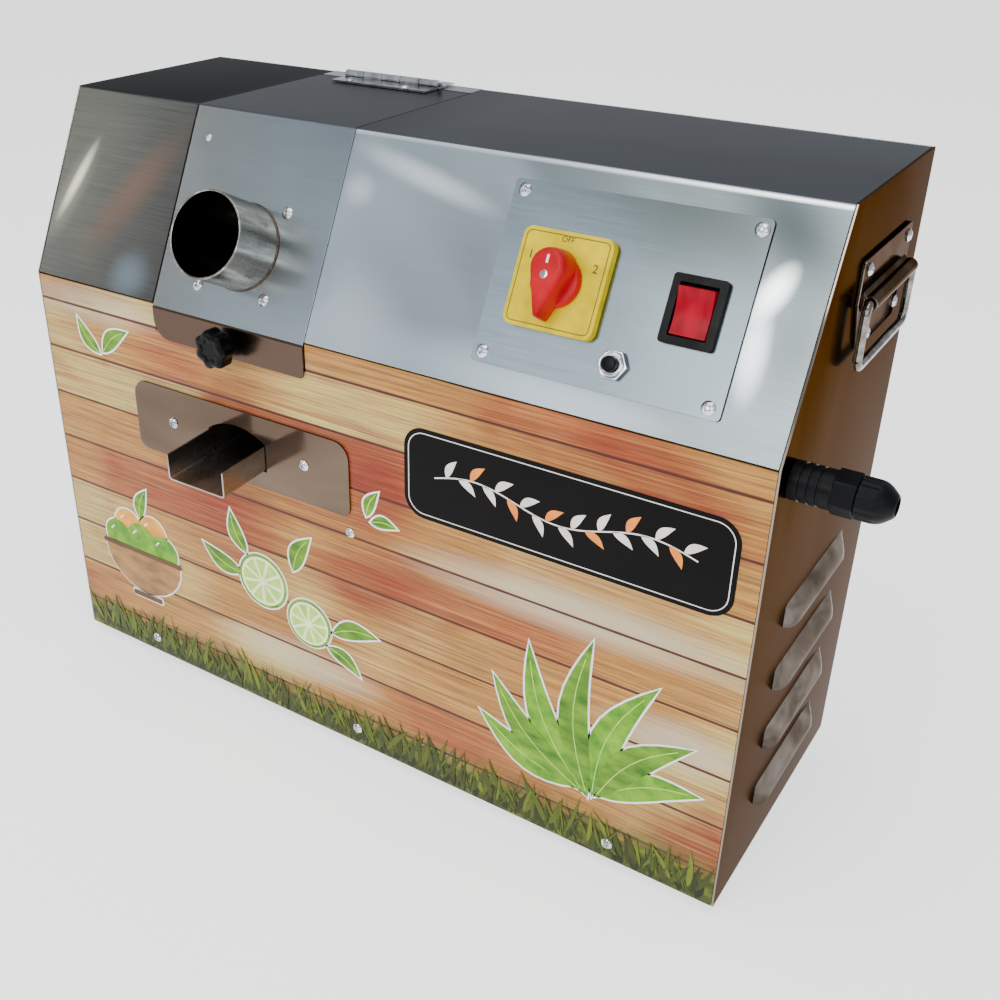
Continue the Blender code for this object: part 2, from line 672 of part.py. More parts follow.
def hinge_leaf(name, parent, offset, toward, first_knuckle):
    """One leaf: a flat plate on the sheet below it, with every other knuckle rolled on its edge.

    Offset brings the hinge's axis into the parent's frame. Toward is -1 to the front, 1 to the rear.
    """
    knuckle = HINGE_LENGTH / HINGE_KNUCKLES
    half = HINGE_LENGTH / 2
    near = HINGE_KNUCKLE_RADIUS + GAP
    spans = [(-half + i * knuckle + GAP, -half + (i + 1) * knuckle - GAP)
             for i in range(first_knuckle, HINGE_KNUCKLES, 2)]
    edge = [(-half, near)]
    for start, end in spans:
        edge += [(start, near), (start, 0), (end, 0), (end, near)]
    edge += [(half, near), (half, near + HINGE_LEAF_REACH), (-half, near + HINGE_LEAF_REACH)]
    outline = [(x, toward * y) for i, (x, y) in enumerate(edge) if (x, y) not in edge[:i]]
    bottom = HINGE_PLATE_RISE - HINGE_KNUCKLE_RADIUS
    leaf = keep(name, prism([outline], bottom, bottom + SHEET, "Z"), CHROME, parent, offset)
    for start, end in spans:
        roll = turned([(start, 0), (start, HINGE_KNUCKLE_RADIUS), (end, HINGE_KNUCKLE_RADIUS), (end, 0)],
                      SMALL_ROUND, "X")
        join(leaf, keep(name + "_knuckle", roll, None, parent, offset))
    bore = turned([(-half - SHEET, 0), (-half - SHEET, HINGE_PIN_RADIUS + GAP),
                   (half + SHEET, HINGE_PIN_RADIUS + GAP), (half + SHEET, 0)], SMALL_ROUND, "X")
    cut(leaf, keep(name + "_bore", bore, None, parent, offset))
    return leaf


hinge_lid_leaf = hinge_leaf("hinge_lid_leaf", hinge_frame, (0, 0, 0), -1, 1)
hinge_rear_leaf = hinge_leaf("hinge_rear_leaf", cabinet_frame, (LID_X, HINGE_AXIS_Y, HINGE_AXIS_Z), 1, 0)
pin_half = HINGE_LENGTH / 2 + SHEET
hinge_pin = keep("hinge_pin", turned([
    (-pin_half, 0), (-pin_half, HINGE_PIN_RADIUS), (pin_half, HINGE_PIN_RADIUS), (pin_half, 0)],
    SMALL_ROUND, "X"), STEEL, cabinet_frame, (LID_X, HINGE_AXIS_Y, HINGE_AXIS_Z))


# Mill: two thick plates from the base pan to the lid, with three rollers running in bronze bushes.

ROLLER_PITCH = MILL_MODULE * ROLLER_GEAR_TEETH
top_axis = (TOP_ROLLER_Y, TOP_ROLLER_Z)


def polar(center, angle, distance):
    """A point at a distance from a centre, its angle counted from straight down towards the rear."""
    return (center[0] + distance * math.sin(angle), center[1] - distance * math.cos(angle))


front_axis = polar(top_axis, -FRONT_ROLLER_ANGLE, ROLLER_PITCH)
rear_axis = polar(top_axis, REAR_ROLLER_ANGLE, ROLLER_PITCH)
main_to_lay = MILL_MODULE * (MAIN_GEAR_TEETH + LAY_PINION_TEETH) / 2
lay_to_motor = LAY_MODULE * (LAY_GEAR_TEETH + MOTOR_PINION_TEETH) / 2
lay_axis = polar(top_axis, LAY_SHAFT_ANGLE, main_to_lay)
output_axis = polar(lay_axis, MOTOR_SHAFT_ANGLE, lay_to_motor)

slope_slant = math.hypot(SLOPE_RUN, SLOPE_RISE)
cover_inset = SHEET + GAP


def slope_height(y, inset):
    """Height of a plane parallel to the slope, an inset inside its outer face."""
    return FRONT_HEIGHT + (y * SLOPE_RISE - inset * slope_slant) / SLOPE_RUN


plate_top = CABINET_HEIGHT - cover_inset
plate_rear = CABINET_DEPTH - PLATE_SETBACK
slope_top_y = (SLOPE_RUN * (plate_top - FRONT_HEIGHT) + cover_inset * slope_slant) / SLOPE_RISE
mill_outline = [(PLATE_SETBACK, cover_inset), (plate_rear, cover_inset), (plate_rear, plate_top),
                (slope_top_y, plate_top), (PLATE_SETBACK, slope_height(PLATE_SETBACK, cover_inset))]
bush_seats = [circle(axis, BUSH_RADIUS + GAP) for axis in (top_axis, front_axis, rear_axis)]
lay_seat = circle(lay_axis, LAY_SHAFT_RADIUS + GAP)
left_mill_plate = keep("left_mill_plate", prism(
    [mill_outline] + bush_seats, LEFT_PLATE_X, MILL_LEFT, "X"), STEEL)
right_mill_plate = keep("right_mill_plate", prism(
    [mill_outline] + bush_seats + [lay_seat], MILL_RIGHT, LID_RIGHT, "X"), STEEL)


def bush(name, axis, inner, out):
    """A flanged bush whose barrel fills the plate from its inner face, with the flange outside."""
    seat = inner + out * (MILL_PLATE + GAP)
    rim = seat + out * BUSH_FLANGE
    bore = JOURNAL_RADIUS + GAP
    return keep(name, turned([(inner, bore), (inner, BUSH_RADIUS), (seat, BUSH_RADIUS),
                              (seat, BUSH_FLANGE_RADIUS), (rim, BUSH_FLANGE_RADIUS), (rim, bore)],
                             ROUND, "X", axis), BRONZE)


for label, axis in (("top", top_axis), ("front", front_axis), ("rear", rear_axis)):
    bush(label + "_roller_left_bush", axis, MILL_LEFT, -1)
    bush(label + "_roller_right_bush", axis, MILL_RIGHT, 1)

FLANGE_LEFT = LEFT_PLATE_X - GAP - BUSH_FLANGE
FLANGE_RIGHT = LID_RIGHT + GAP + BUSH_FLANGE
ROLLER_GEAR_RIGHT = FLANGE_LEFT - ROLLER_GEAR_GAP
ROLLER_GEAR_LEFT = ROLLER_GEAR_RIGHT - GEAR_WIDTH
MAIN_GEAR_LEFT = FLANGE_RIGHT + GEAR_SIDE_GAP
MAIN_GEAR_RIGHT = MAIN_GEAR_LEFT + GEAR_WIDTH
LAY_GEAR_LEFT = MAIN_GEAR_RIGHT + 2 * GEAR_SIDE_GAP
LAY_GEAR_RIGHT = LAY_GEAR_LEFT + GEAR_WIDTH
BEARING_LEFT = LAY_GEAR_RIGHT + 2 * GEAR_SIDE_GAP
BEARING_RIGHT = BEARING_LEFT + BEARING_PLATE
SHAFT_OVERHANG = 0.002


def fluted_outline(center, radius, depth, flutes):
    """A round outline with V-shaped flutes."""
    points = []
    for i in range(flutes * 2):
        angle = math.pi * i / flutes
        reach = radius - depth * (i % 2)
        points.append((center[0] + reach * math.cos(angle), center[1] + reach * math.sin(angle)))
    return points


def roller(name, axis, right_end):
    """A fluted crushing roller in one piece with its journals. Its origin is on its axis."""
    frame = empty(name + "_axis", cabinet_frame, (0, *axis))
    left, right = MILL_LEFT + ROLLER_END_GAP, MILL_RIGHT - ROLLER_END_GAP
    piece = keep(name, prism([fluted_outline((0, 0), ROLLER_RADIUS, FLUTE_DEPTH, ROLLER_FLUTES)],
                             left, right, "X"), STEEL, frame)
    left_end = ROLLER_GEAR_LEFT - SHAFT_OVERHANG
    shaft = turned([(left_end, 0), (left_end, JOURNAL_RADIUS), (right_end, JOURNAL_RADIUS), (right_end, 0)],
                   ROUND, "X")
    join(piece, keep(name + "_shaft", shaft, None, frame))
    return frame


short_end = FLANGE_RIGHT + GAP
top_roller_frame = roller("top_roller", top_axis, MAIN_GEAR_RIGHT + SHAFT_OVERHANG)
front_roller_frame = roller("front_roller", front_axis, short_end)
rear_roller_frame = roller("rear_roller", rear_axis, short_end)


def involute(angle):
    return math.tan(angle) - angle


def gear_outline(teeth, module, phase):
    """An involute gear's outline round the origin, with one tooth centred at the phase."""
    pitch_radius = teeth * module / 2
    base = pitch_radius * math.cos(PRESSURE_ANGLE)
    half_tooth = math.pi / (2 * teeth) * (1 - BACKLASH)
    root = pitch_radius - DEDENDUM * module
    tip = pitch_radius + ADDENDUM * module

    def half_angle(radius):
        if radius <= base:
            return half_tooth + involute(PRESSURE_ANGLE)
        return half_tooth + involute(PRESSURE_ANGLE) - involute(math.acos(base / radius))

    flank = [(radius, half_angle(radius)) for radius in (root, pitch_radius, tip)]
    points = []
    for tooth in range(teeth):
        middle = phase + 2 * math.pi * tooth / teeth
        for radius, half in flank:
            points.append((radius * math.cos(middle - half), radius * math.sin(middle - half)))
        for radius, half in flank[::-1]:
            points.append((radius * math.cos(middle + half), radius * math.sin(middle + half)))
    return points


def direction(start, end):
    return math.atan2(end[1] - start[1], end[0] - start[0])


def meshed_phase(teeth, phase, toward, other_teeth):
    """The phase that puts a gap of the other gear on a tooth of this one, on their centre line."""
    pitch = 2 * math.pi / teeth
    share = ((phase - toward) / pitch) % 1
    return toward + math.pi + (0.5 - share) * 2 * math.pi / other_teeth


def gear(name, teeth, module, phase, left, right, bore, frame, material=STEEL):
    return keep(name, prism([gear_outline(teeth, module, phase), circle((0, 0), bore)], left, right, "X"),
                material, frame)


top_phase = direction(top_axis, front_axis)
front_phase = meshed_phase(ROLLER_GEAR_TEETH, top_phase, top_phase, ROLLER_GEAR_TEETH)
rear_phase = meshed_phase(ROLLER_GEAR_TEETH, top_phase, direction(top_axis, rear_axis), ROLLER_GEAR_TEETH)
journal_bore = JOURNAL_RADIUS + GAP
for name, phase, frame in (("top_roller_gear", top_phase, top_roller_frame),
                           ("front_roller_gear", front_phase, front_roller_frame),
                           ("rear_roller_gear", rear_phase, rear_roller_frame)):
    gear(name, ROLLER_GEAR_TEETH, MILL_MODULE, phase, ROLLER_GEAR_LEFT, ROLLER_GEAR_RIGHT,
         journal_bore, frame)


# Gear train: main gear on the top roller, lay shaft below it, motor pinion below that.

main_phase = direction(top_axis, lay_axis)
pinion_phase = meshed_phase(MAIN_GEAR_TEETH, main_phase, main_phase, LAY_PINION_TEETH)
lay_phase = direction(lay_axis, output_axis)
motor_phase = meshed_phase(LAY_GEAR_TEETH, lay_phase, lay_phase, MOTOR_PINION_TEETH)
gear("main_gear", MAIN_GEAR_TEETH, MILL_MODULE, main_phase, MAIN_GEAR_LEFT, MAIN_GEAR_RIGHT,
     journal_bore, top_roller_frame, PAINTED)

lay_frame = empty("lay_shaft_axis", cabinet_frame, (0, *lay_axis))
lay_start = MILL_RIGHT + GAP
lay_end = BEARING_RIGHT - GAP
lay_shaft = keep("lay_shaft", turned([
    (lay_start, 0), (lay_start, LAY_SHAFT_RADIUS), (lay_end, LAY_SHAFT_RADIUS), (lay_end, 0)],
    ROUND, "X"), STEEL, lay_frame)
join(lay_shaft, keep("lay_pinion", prism(
    [gear_outline(LAY_PINION_TEETH, MILL_MODULE, pinion_phase)],
    MAIN_GEAR_LEFT - GEAR_SIDE_GAP / 2, MAIN_GEAR_RIGHT + GEAR_SIDE_GAP / 2, "X"), None, lay_frame))
gear("lay_gear", LAY_GEAR_TEETH, LAY_MODULE, lay_phase, LAY_GEAR_LEFT, LAY_GEAR_RIGHT,
     LAY_SHAFT_RADIUS + GAP, lay_frame, PAINTED)

bearing_plate = keep("bearing_plate", prism([
    rectangle(BEARING_PLATE_FRONT, BEARING_PLATE_REAR, cover_inset, lay_axis[1] + BEARING_PLATE_RISE),
    circle(lay_axis, LAY_SHAFT_RADIUS + GAP),
    circle(output_axis, OUTPUT_SHAFT_RADIUS + SHEET),
], BEARING_LEFT, BEARING_RIGHT, "X"), STEEL)
join(bearing_plate, keep("bearing_plate_foot", box(
    (BEARING_LEFT - BEARING_FOOT, BEARING_PLATE_FRONT + GAP, cover_inset),
    (BEARING_RIGHT - SHEET, BEARING_PLATE_REAR - GAP, cover_inset + BEARING_PLATE))))

output_frame = empty("motor_output_axis", cabinet_frame, (0, *output_axis))
GEARBOX_LEFT = BEARING_RIGHT + GAP
GEARBOX_RIGHT = GEARBOX_LEFT + GEARBOX_LENGTH
output_start = LAY_GEAR_LEFT - GEAR_SIDE_GAP / 2
output_tip = output_start - SHEET
output_end = GEARBOX_LEFT + GEARBOX_LENGTH / 2
motor_pinion = keep("motor_pinion", turned([
    (output_tip, 0), (output_tip, OUTPUT_SHAFT_RADIUS), (output_end, OUTPUT_SHAFT_RADIUS), (output_end, 0)],
    ROUND, "X"), STEEL, output_frame)
join(motor_pinion, keep("motor_pinion_teeth", prism(
    [gear_outline(MOTOR_PINION_TEETH, LAY_MODULE, motor_phase)],
    output_start, LAY_GEAR_RIGHT + GEAR_SIDE_GAP / 2, "X"), None, output_frame))


# Geared motor: a casting with the output shaft at its top and the motor flanged on below it.

motor_axis = (output_axis[0], output_axis[1] - MOTOR_DROP)
half_box = GEARBOX_WIDTH / 2
gearbox = keep("reduction_gearbox", prism([rectangle(
    output_axis[0] - half_box, output_axis[0] + half_box, motor_axis[1] - GEARBOX_MARGIN,
    output_axis[1] + GEARBOX_MARGIN, GEARBOX_CORNER)], GEARBOX_LEFT, GEARBOX_RIGHT, "X"), PAINTED)
cut(gearbox, keep("gearbox_bore", turned([
    (GEARBOX_LEFT - SHEET, 0), (GEARBOX_LEFT - SHEET, OUTPUT_SHAFT_RADIUS + GAP),
    (output_end + GAP, OUTPUT_SHAFT_RADIUS + GAP), (output_end + GAP, 0)], ROUND, "X", output_axis)))

MOTOR_LEFT = GEARBOX_RIGHT + GAP
MOTOR_RIGHT = CABINET_WIDTH - SHEET - MOTOR_END_GAP - COWL_LENGTH
drive_motor = keep("drive_motor", prism([fluted_outline(
    motor_axis, MOTOR_RADIUS, RIB_DEPTH, MOTOR_RIBS)], MOTOR_LEFT, MOTOR_RIGHT, "X"), PAINTED)
cowl_start = MOTOR_RIGHT - SHEET
cowl_end = MOTOR_RIGHT + COWL_LENGTH
cowl_radius = MOTOR_RADIUS - COWL_INSET
join(drive_motor, keep("motor_fan_cowl", turned([
    (cowl_start, 0), (cowl_start, cowl_radius), (cowl_end - COWL_CHAMFER, cowl_radius),
    (cowl_end, cowl_radius - COWL_CHAMFER), (cowl_end, 0)], ROUND, "X", motor_axis)))


def stand_outline():
    """A folded stand: two legs and a saddle that follows the motor's underside."""
    seat = MOTOR_RADIUS + GAP
    sweep = math.asin(SADDLE_HALF_WIDTH / seat)
    saddle = [polar(motor_axis, sweep - 2 * sweep * i / 8, seat) for i in range(9)]
    shoulder = saddle[0][1]
    bridge = motor_axis[1] - seat - STAND_WALL
    rear, front = motor_axis[0] + STAND_HALF_WIDTH, motor_axis[0] - STAND_HALF_WIDTH
    floor = cover_inset
    return [(front, floor), (front + STAND_WALL, floor), (front + STAND_WALL, bridge),
            (rear - STAND_WALL, bridge), (rear - STAND_WALL, floor), (rear, floor), (rear, shoulder),
            *saddle, (front, shoulder)]


stand_start = (MOTOR_LEFT + MOTOR_RIGHT - STAND_LENGTH) / 2
stand_end = stand_start + STAND_LENGTH
motor_stand = keep("motor_stand", prism([stand_outline()], stand_start, stand_end, "X"), STEEL)


# Juice path: a tilted tray under the rollers runs to the chute in the front panel.

tray_frame = empty("tray_frame", cabinet_frame, (LID_X, TRAY_FRONT, TRAY_Z), (TRAY_TILT, 0, 0))
tray_half = (MILL_RIGHT - MILL_LEFT) / 2 - TRAY_SIDE_GAP
tray_length = (TRAY_REAR - TRAY_FRONT) / math.cos(TRAY_TILT)
juice_tray = keep("juice_tray", box((-tray_half, 0, 0), (tray_half, tray_length, TRAY_DEPTH)),
                  BRUSHED, tray_frame)
cut(juice_tray, keep("tray_inside", box(
    (-tray_half + TRAY_WALL, TRAY_WALL, TRAY_WALL),
    (tray_half - TRAY_WALL, tray_length - TRAY_WALL, TRAY_DEPTH + TRAY_WALL)), None, tray_frame))
spout_x = CHUTE_X - LID_X
spout_half = SPOUT_WIDTH / 2
cut(juice_tray, keep("tray_outlet", box(
    (spout_x - spout_half + TRAY_WALL, -TRAY_WALL, TRAY_WALL),
    (spout_x + spout_half - TRAY_WALL, 2 * TRAY_WALL, TRAY_DEPTH + TRAY_WALL)), None, tray_frame))
join(juice_tray, keep("tray_spout", box(
    (spout_x - spout_half, -SPOUT_REACH, 0),
    (spout_x + spout_half, TRAY_WALL / 2, TRAY_WALL)), None, tray_frame))

slot_pitch = 2 * tray_half / (STRAINER_SLOTS + 1)
slot_from = STRAINER_FROM + (STRAINER_LENGTH - SLOT_LENGTH) / 2
slot_middles = [-tray_half + i * slot_pitch for i in range(1, STRAINER_SLOTS + 1)]
slots = [rectangle(x - SLOT_WIDTH / 2, x + SLOT_WIDTH / 2, slot_from, slot_from + SLOT_LENGTH)
         for x in slot_middles]
juice_strainer = keep("juice_strainer", prism(
    [rectangle(-tray_half, tray_half, STRAINER_FROM, STRAINER_FROM + STRAINER_LENGTH)] + slots,
    TRAY_DEPTH + GAP, TRAY_DEPTH + GAP + STRAINER_THICKNESS, "Z"), BRUSHED, tray_frame)


def channel_section(y):
    """The chute's U-shaped section where it crosses a plane of constant Y."""
    bottom = CHUTE_Z + CHUTE_FALL * y
    half = CHUTE_WIDTH / 2
    inner = half - CHUTE_WALL
    top = bottom + CHUTE_WALL_HEIGHT
    floor = bottom + CHUTE_WALL
    outline = [(-half, bottom), (half, bottom), (half, top), (inner, top),
               (inner, floor), (-inner, floor), (-inner, top), (-half, top)]
    return [(CHUTE_X + x, y, z) for x, z in outline]


def channel():
    """The chute between its two end sections."""
    bm = bmesh.new()
    ends = [[bm.verts.new(point) for point in channel_section(y)] for y in (-CHUTE_REACH, CHUTE_DEPTH)]
    count = len(ends[0])
    for i in range(count):
        j = (i + 1) % count
        bm.faces.new((ends[0][i], ends[0][j], ends[1][j], ends[1][i]))
    for end in ends:
        for corners in ((0, 5, 6, 7), (0, 1, 4, 5), (1, 2, 3, 4)):
            bm.faces.new([end[i] for i in corners])
    return bm


juice_chute = keep("juice_chute", channel(), BRUSHED)
plate_bottom = CHUTE_Z - OUTLET_PLATE_BELOW
outlet_plate_outline = rectangle(OUTLET_PLATE_LEFT, OUTLET_PLATE_LEFT + OUTLET_PLATE_WIDTH, plate_bottom,
                                 plate_bottom + OUTLET_PLATE_HEIGHT, OUTLET_PLATE_CORNER)
outlet_plate = keep("outlet_plate", prism([outlet_plate_outline, outlet_outline()],
                                          -GAP - SHEET, -GAP, "Y"), POLISHED)


# Cane path: a trash plate carries the cane from the first nip to the second, and a waste chute
# scrapes the rear roller and leads the crushed cane out through the rear panel.

rolls_between = (MILL_LEFT + GAP, MILL_RIGHT - GAP)


def trash_outline(steps=5):
    """A hollow top that follows the top roller, on a stem between the two lower rollers."""
    sweep = TRASH_REAR_ANGLE - TRASH_FRONT_ANGLE
    top = [polar(top_axis, TRASH_FRONT_ANGLE + sweep * i / steps, ROLLER_RADIUS + TRASH_GAP)
           for i in range(steps + 1)]
    middle = ((front_axis[0] + rear_axis[0]) / 2, (front_axis[1] + rear_axis[1]) / 2)
    across = direction(front_axis, rear_axis)
    side = (math.cos(across) * TRASH_STEM / 2, math.sin(across) * TRASH_STEM / 2)
    down = (math.sin(across) * TRASH_STEM_LENGTH, -math.cos(across) * TRASH_STEM_LENGTH)
    foot = (middle[0] + down[0], middle[1] + down[1])
    return top + [(middle[0] + side[0], middle[1] + side[1]), (foot[0] + side[0], foot[1] + side[1]),
                  (foot[0] - side[0], foot[1] - side[1]), (middle[0] - side[0], middle[1] - side[1])]


trash_plate = keep("trash_plate", prism([trash_outline()], *rolls_between, "X"), STEEL)
scraper_distance = ROLLER_RADIUS + WASTE_SCRAPER_GAP
scraper = (rear_axis[0] + scraper_distance * math.cos(WASTE_SCRAPER_ANGLE),
           rear_axis[1] + scraper_distance * math.sin(WASTE_SCRAPER_ANGLE))
waste_end = (REAR_FACE - GAP, scraper[1] - WASTE_FALL)
waste_chute = keep("waste_chute", bent_sheet(
    [scraper, waste_end, (waste_end[0], waste_end[1] - WASTE_SKIRT)], WASTE_SHEET, *rolls_between), BRUSHED)


# Controls on the fascia, placed along X, up the slope and out from its face.

PLATE_FACE = GAP + SHEET
COVER_BACK = -SHEET - GAP
FACE_SEAT = PLATE_FACE + GAP


def on_slope(name, bm, material=None, x=0.0, along=0.0, parent=slope_frame, height=0.0):
    return keep(name, bm, material, parent, (x, along, height))


def centered(width, height, corner=0.0):
    return rectangle(-width / 2, width / 2, -height / 2, height / 2, corner)


def disc(low, high, radius, count=ROUND):
    return prism([circle((0, 0), radius, count)], low, high, "Z")


def moved(outline, x, y):
    return [(a + x, b + y) for a, b in outline]


rocker_window = centered(ROCKER_BODY_WIDTH + 2 * GAP, ROCKER_BODY_HEIGHT + 2 * GAP)
control_plate = on_slope("control_plate", prism([
    rectangle(CONTROL_LEFT, CONTROL_RIGHT, CONTROL_BOTTOM, CONTROL_TOP, CONTROL_CORNER),
    circle((SWITCH_X, SWITCH_ALONG), SWITCH_NECK_RADIUS + GAP),
    moved(rocker_window, ROCKER_X, ROCKER_ALONG),
    circle((RESET_X, RESET_ALONG), RESET_NECK_RADIUS + GAP, SMALL_ROUND),
], GAP, PLATE_FACE, "Z"), BRUSHED)
through = (-3 * SHEET, SHEET)
cut(right_top_cover, on_slope("switch_hole", disc(*through, SWITCH_NECK_RADIUS + GAP), None,
                              SWITCH_X, SWITCH_ALONG))
cut(right_top_cover, on_slope("rocker_hole", prism([rocker_window], *through, "Z"), None,
                              ROCKER_X, ROCKER_ALONG))
cut(right_top_cover, on_slope("reset_hole", disc(*through, RESET_NECK_RADIUS + GAP, SMALL_ROUND), None,
                              RESET_X, RESET_ALONG))

# Cam switch: a contact block behind the fascia, a yellow plate in front, a red handle on the spindle.
switch_body = on_slope("rotary_switch_body", prism([centered(SWITCH_BODY, SWITCH_BODY)],
                                                   COVER_BACK - SWITCH_BODY_DEPTH, COVER_BACK, "Z"),
                       BLACK, SWITCH_X, SWITCH_ALONG)
join(switch_body, on_slope("switch_neck", disc(COVER_BACK - SHEET, PLATE_FACE, SWITCH_NECK_RADIUS), None,
                           SWITCH_X, SWITCH_ALONG))
spindle_bore = SWITCH_SPINDLE_RADIUS + GAP
cut(switch_body, on_slope("spindle_bore", disc(-SWITCH_SPINDLE_DEPTH - GAP, FACE_SEAT, spindle_bore), None,
                          SWITCH_X, SWITCH_ALONG))
switch_top = FACE_SEAT + SWITCH_PLATE_THICKNESS
on_slope("rotary_switch_plate", prism([
    centered(SWITCH_PLATE, SWITCH_PLATE, SWITCH_PLATE_CORNER), circle((0, 0), spindle_bore)],
    FACE_SEAT, switch_top, "Z"), YELLOW, SWITCH_X, SWITCH_ALONG)


def teardrop(head, head_radius, tail, tail_radius, count=8):
    """A lever's outline: a round head at +Y tapering to a small round tail at -Y."""
    lean = math.asin((head_radius - tail_radius) / (head + tail))
    points = []
    for i in range(count + 1):
        angle = -lean + (math.pi + 2 * lean) * i / count
        points.append((head_radius * math.cos(angle), head + head_radius * math.sin(angle)))
    for i in range(count // 2 + 1):
        angle = math.pi + lean + (math.pi - 2 * lean) * i / (count // 2)
        points.append((tail_radius * math.cos(angle), -tail + tail_radius * math.sin(angle)))
    return points


switch_frame = empty("switch_spindle", slope_frame, (SWITCH_X, SWITCH_ALONG, 0))
handle_low = switch_top + GAP
switch_handle = keep("rotary_switch_handle", disc(
    handle_low, handle_low + SWITCH_BASE_HEIGHT, SWITCH_BASE_RADIUS), RED, switch_frame)
join(switch_handle, keep("switch_lever", prism([teardrop(
    SWITCH_HEAD_REACH - SWITCH_HEAD_RADIUS, SWITCH_HEAD_RADIUS,
    SWITCH_TAIL_REACH - SWITCH_TAIL_RADIUS, SWITCH_TAIL_RADIUS)],
    handle_low + SWITCH_BASE_HEIGHT / 2, handle_low + SWITCH_HANDLE_HEIGHT, "Z"), None, switch_frame))
join(switch_handle, keep("switch_spindle_rod", disc(
    -SWITCH_SPINDLE_DEPTH, handle_low + SWITCH_BASE_HEIGHT / 2, SWITCH_SPINDLE_RADIUS), None, switch_frame))

# Rocker switch: a bezel with its body behind it, and a key that rocks about a pin across it.
bezel_top = FACE_SEAT + ROCKER_BEZEL_RISE
rocker_bezel = on_slope("rocker_bezel", prism([centered(
    ROCKER_BEZEL_WIDTH, ROCKER_BEZEL_HEIGHT, ROCKER_RIM / 2)], FACE_SEAT, bezel_top, "Z"),
    BLACK, ROCKER_X, ROCKER_ALONG)
join(rocker_bezel, on_slope("rocker_body", prism([centered(ROCKER_BODY_WIDTH, ROCKER_BODY_HEIGHT)],
                                                 -ROCKER_BODY_DEPTH, FACE_SEAT + SHEET, "Z"),
                            None, ROCKER_X, ROCKER_ALONG))
window_width = ROCKER_BEZEL_WIDTH - 2 * ROCKER_RIM
window_height = ROCKER_BEZEL_HEIGHT - 2 * ROCKER_RIM
cut(rocker_bezel, on_slope("rocker_cavity", prism([centered(window_width, window_height)],
                                                  FACE_SEAT - ROCKER_CAVITY, bezel_top + SHEET, "Z"),
                           None, ROCKER_X, ROCKER_ALONG))
rocker_frame = empty("rocker_pivot", slope_frame, (ROCKER_X, ROCKER_ALONG, FACE_SEAT), (ROCKER_TILT, 0, 0))
key_half = window_height / 2 - ROCKER_SWING_GAP
key_side = window_width / 2 - ROCKER_KEY_GAP
keep("rocker_key", prism([[
    (-key_half, ROCKER_KEY_END), (0, ROCKER_KEY_MIDDLE), (key_half, ROCKER_KEY_END),
    (key_half, 0), (key_half / 2, -ROCKER_KEY_DEPTH), (-key_half / 2, -ROCKER_KEY_DEPTH), (-key_half, 0)]],
    -key_side, key_side, "X"), RED, rocker_frame)

# Overload reset: a threaded neck with its hex nut, and a button that pushes in.
reset_top = FACE_SEAT + RESET_NUT_THICKNESS + RESET_NECK_RISE
reset_body = on_slope("reset_button_body", disc(
    COVER_BACK - RESET_BODY_DEPTH, COVER_BACK, RESET_BODY_RADIUS), CHROME, RESET_X, RESET_ALONG)
join(reset_body, on_slope("reset_neck", disc(
    COVER_BACK - SHEET, reset_top, RESET_NECK_RADIUS, SMALL_ROUND), None, RESET_X, RESET_ALONG))
nut_radius = RESET_NUT_FLATS / 2 / math.cos(math.pi / 6)
join(reset_body, on_slope("reset_nut", disc(
    FACE_SEAT, FACE_SEAT + RESET_NUT_THICKNESS, nut_radius, 6), None, RESET_X, RESET_ALONG))
button_bore = RESET_BUTTON_RADIUS + GAP
button_low = FACE_SEAT - RESET_BUTTON_DEPTH
cut(reset_body, on_slope("reset_bore", disc(button_low - RESET_TRAVEL - GAP, reset_top + SHEET, button_bore,
                                            SMALL_ROUND), None, RESET_X, RESET_ALONG))
button_frame = empty("reset_axis", slope_frame, (RESET_X, RESET_ALONG, 0))
keep("reset_button", disc(button_low, reset_top + RESET_BUTTON_RISE, RESET_BUTTON_RADIUS, SMALL_ROUND),
     BLACK, button_frame)


# Cable gland in the right side panel, its bore empty.

gland_face = CABINET_WIDTH + GAP
thread_end = CABINET_WIDTH - SHEET - GLAND_THREAD
collar_start = CABINET_WIDTH + GLAND_SLEEVE
collar_end = collar_start + GLAND_COLLAR
keep("gland_body", turned([
    (thread_end, GLAND_BORE_RADIUS), (thread_end, GLAND_THREAD_RADIUS),
    (gland_face, GLAND_THREAD_RADIUS), (gland_face, GLAND_SLEEVE_RADIUS),
    (collar_start, GLAND_SLEEVE_RADIUS), (collar_start, GLAND_COLLAR_RADIUS),
    (collar_end, GLAND_COLLAR_RADIUS), (collar_end, GLAND_BORE_RADIUS)],
    ROUND, "X", (GLAND_Y, GLAND_Z)), BLACK)
nut_start = collar_end + GAP
nut_end = CABINET_WIDTH + GLAND_REACH
keep("gland_nut", turned([
    (nut_start, GLAND_BORE_RADIUS), (nut_start, GLAND_NUT_RADIUS),
    (nut_end - DOME_LENGTH, GLAND_NUT_RADIUS), (nut_end - DOME_SHOULDER, DOME_SHOULDER_RADIUS),
    (nut_end, DOME_TIP_RADIUS), (nut_end, GLAND_BORE_RADIUS)], ROUND, "X", (GLAND_Y, GLAND_Z)), BLACK)


# Carry handles: a plate with a rolled barrel, and a wire bail that swings in the barrel.

def round_corners(points, radius, steps=3):
    """An open path with each of its square corners rounded."""
    path = [points[0]]
    for before, corner, after in zip(points, points[1:], points[2:]):
        into = Vector((before[0] - corner[0], before[1] - corner[1])).normalized()
        out = Vector((after[0] - corner[0], after[1] - corner[1])).normalized()
        middle = Vector(corner) + (into + out) * radius
        for step in range(steps + 1):
            turn = math.pi / 2 * step / steps
            path.append(tuple(middle - out * radius * math.cos(turn) - into * radius * math.sin(turn)))
    return path + [points[-1]]


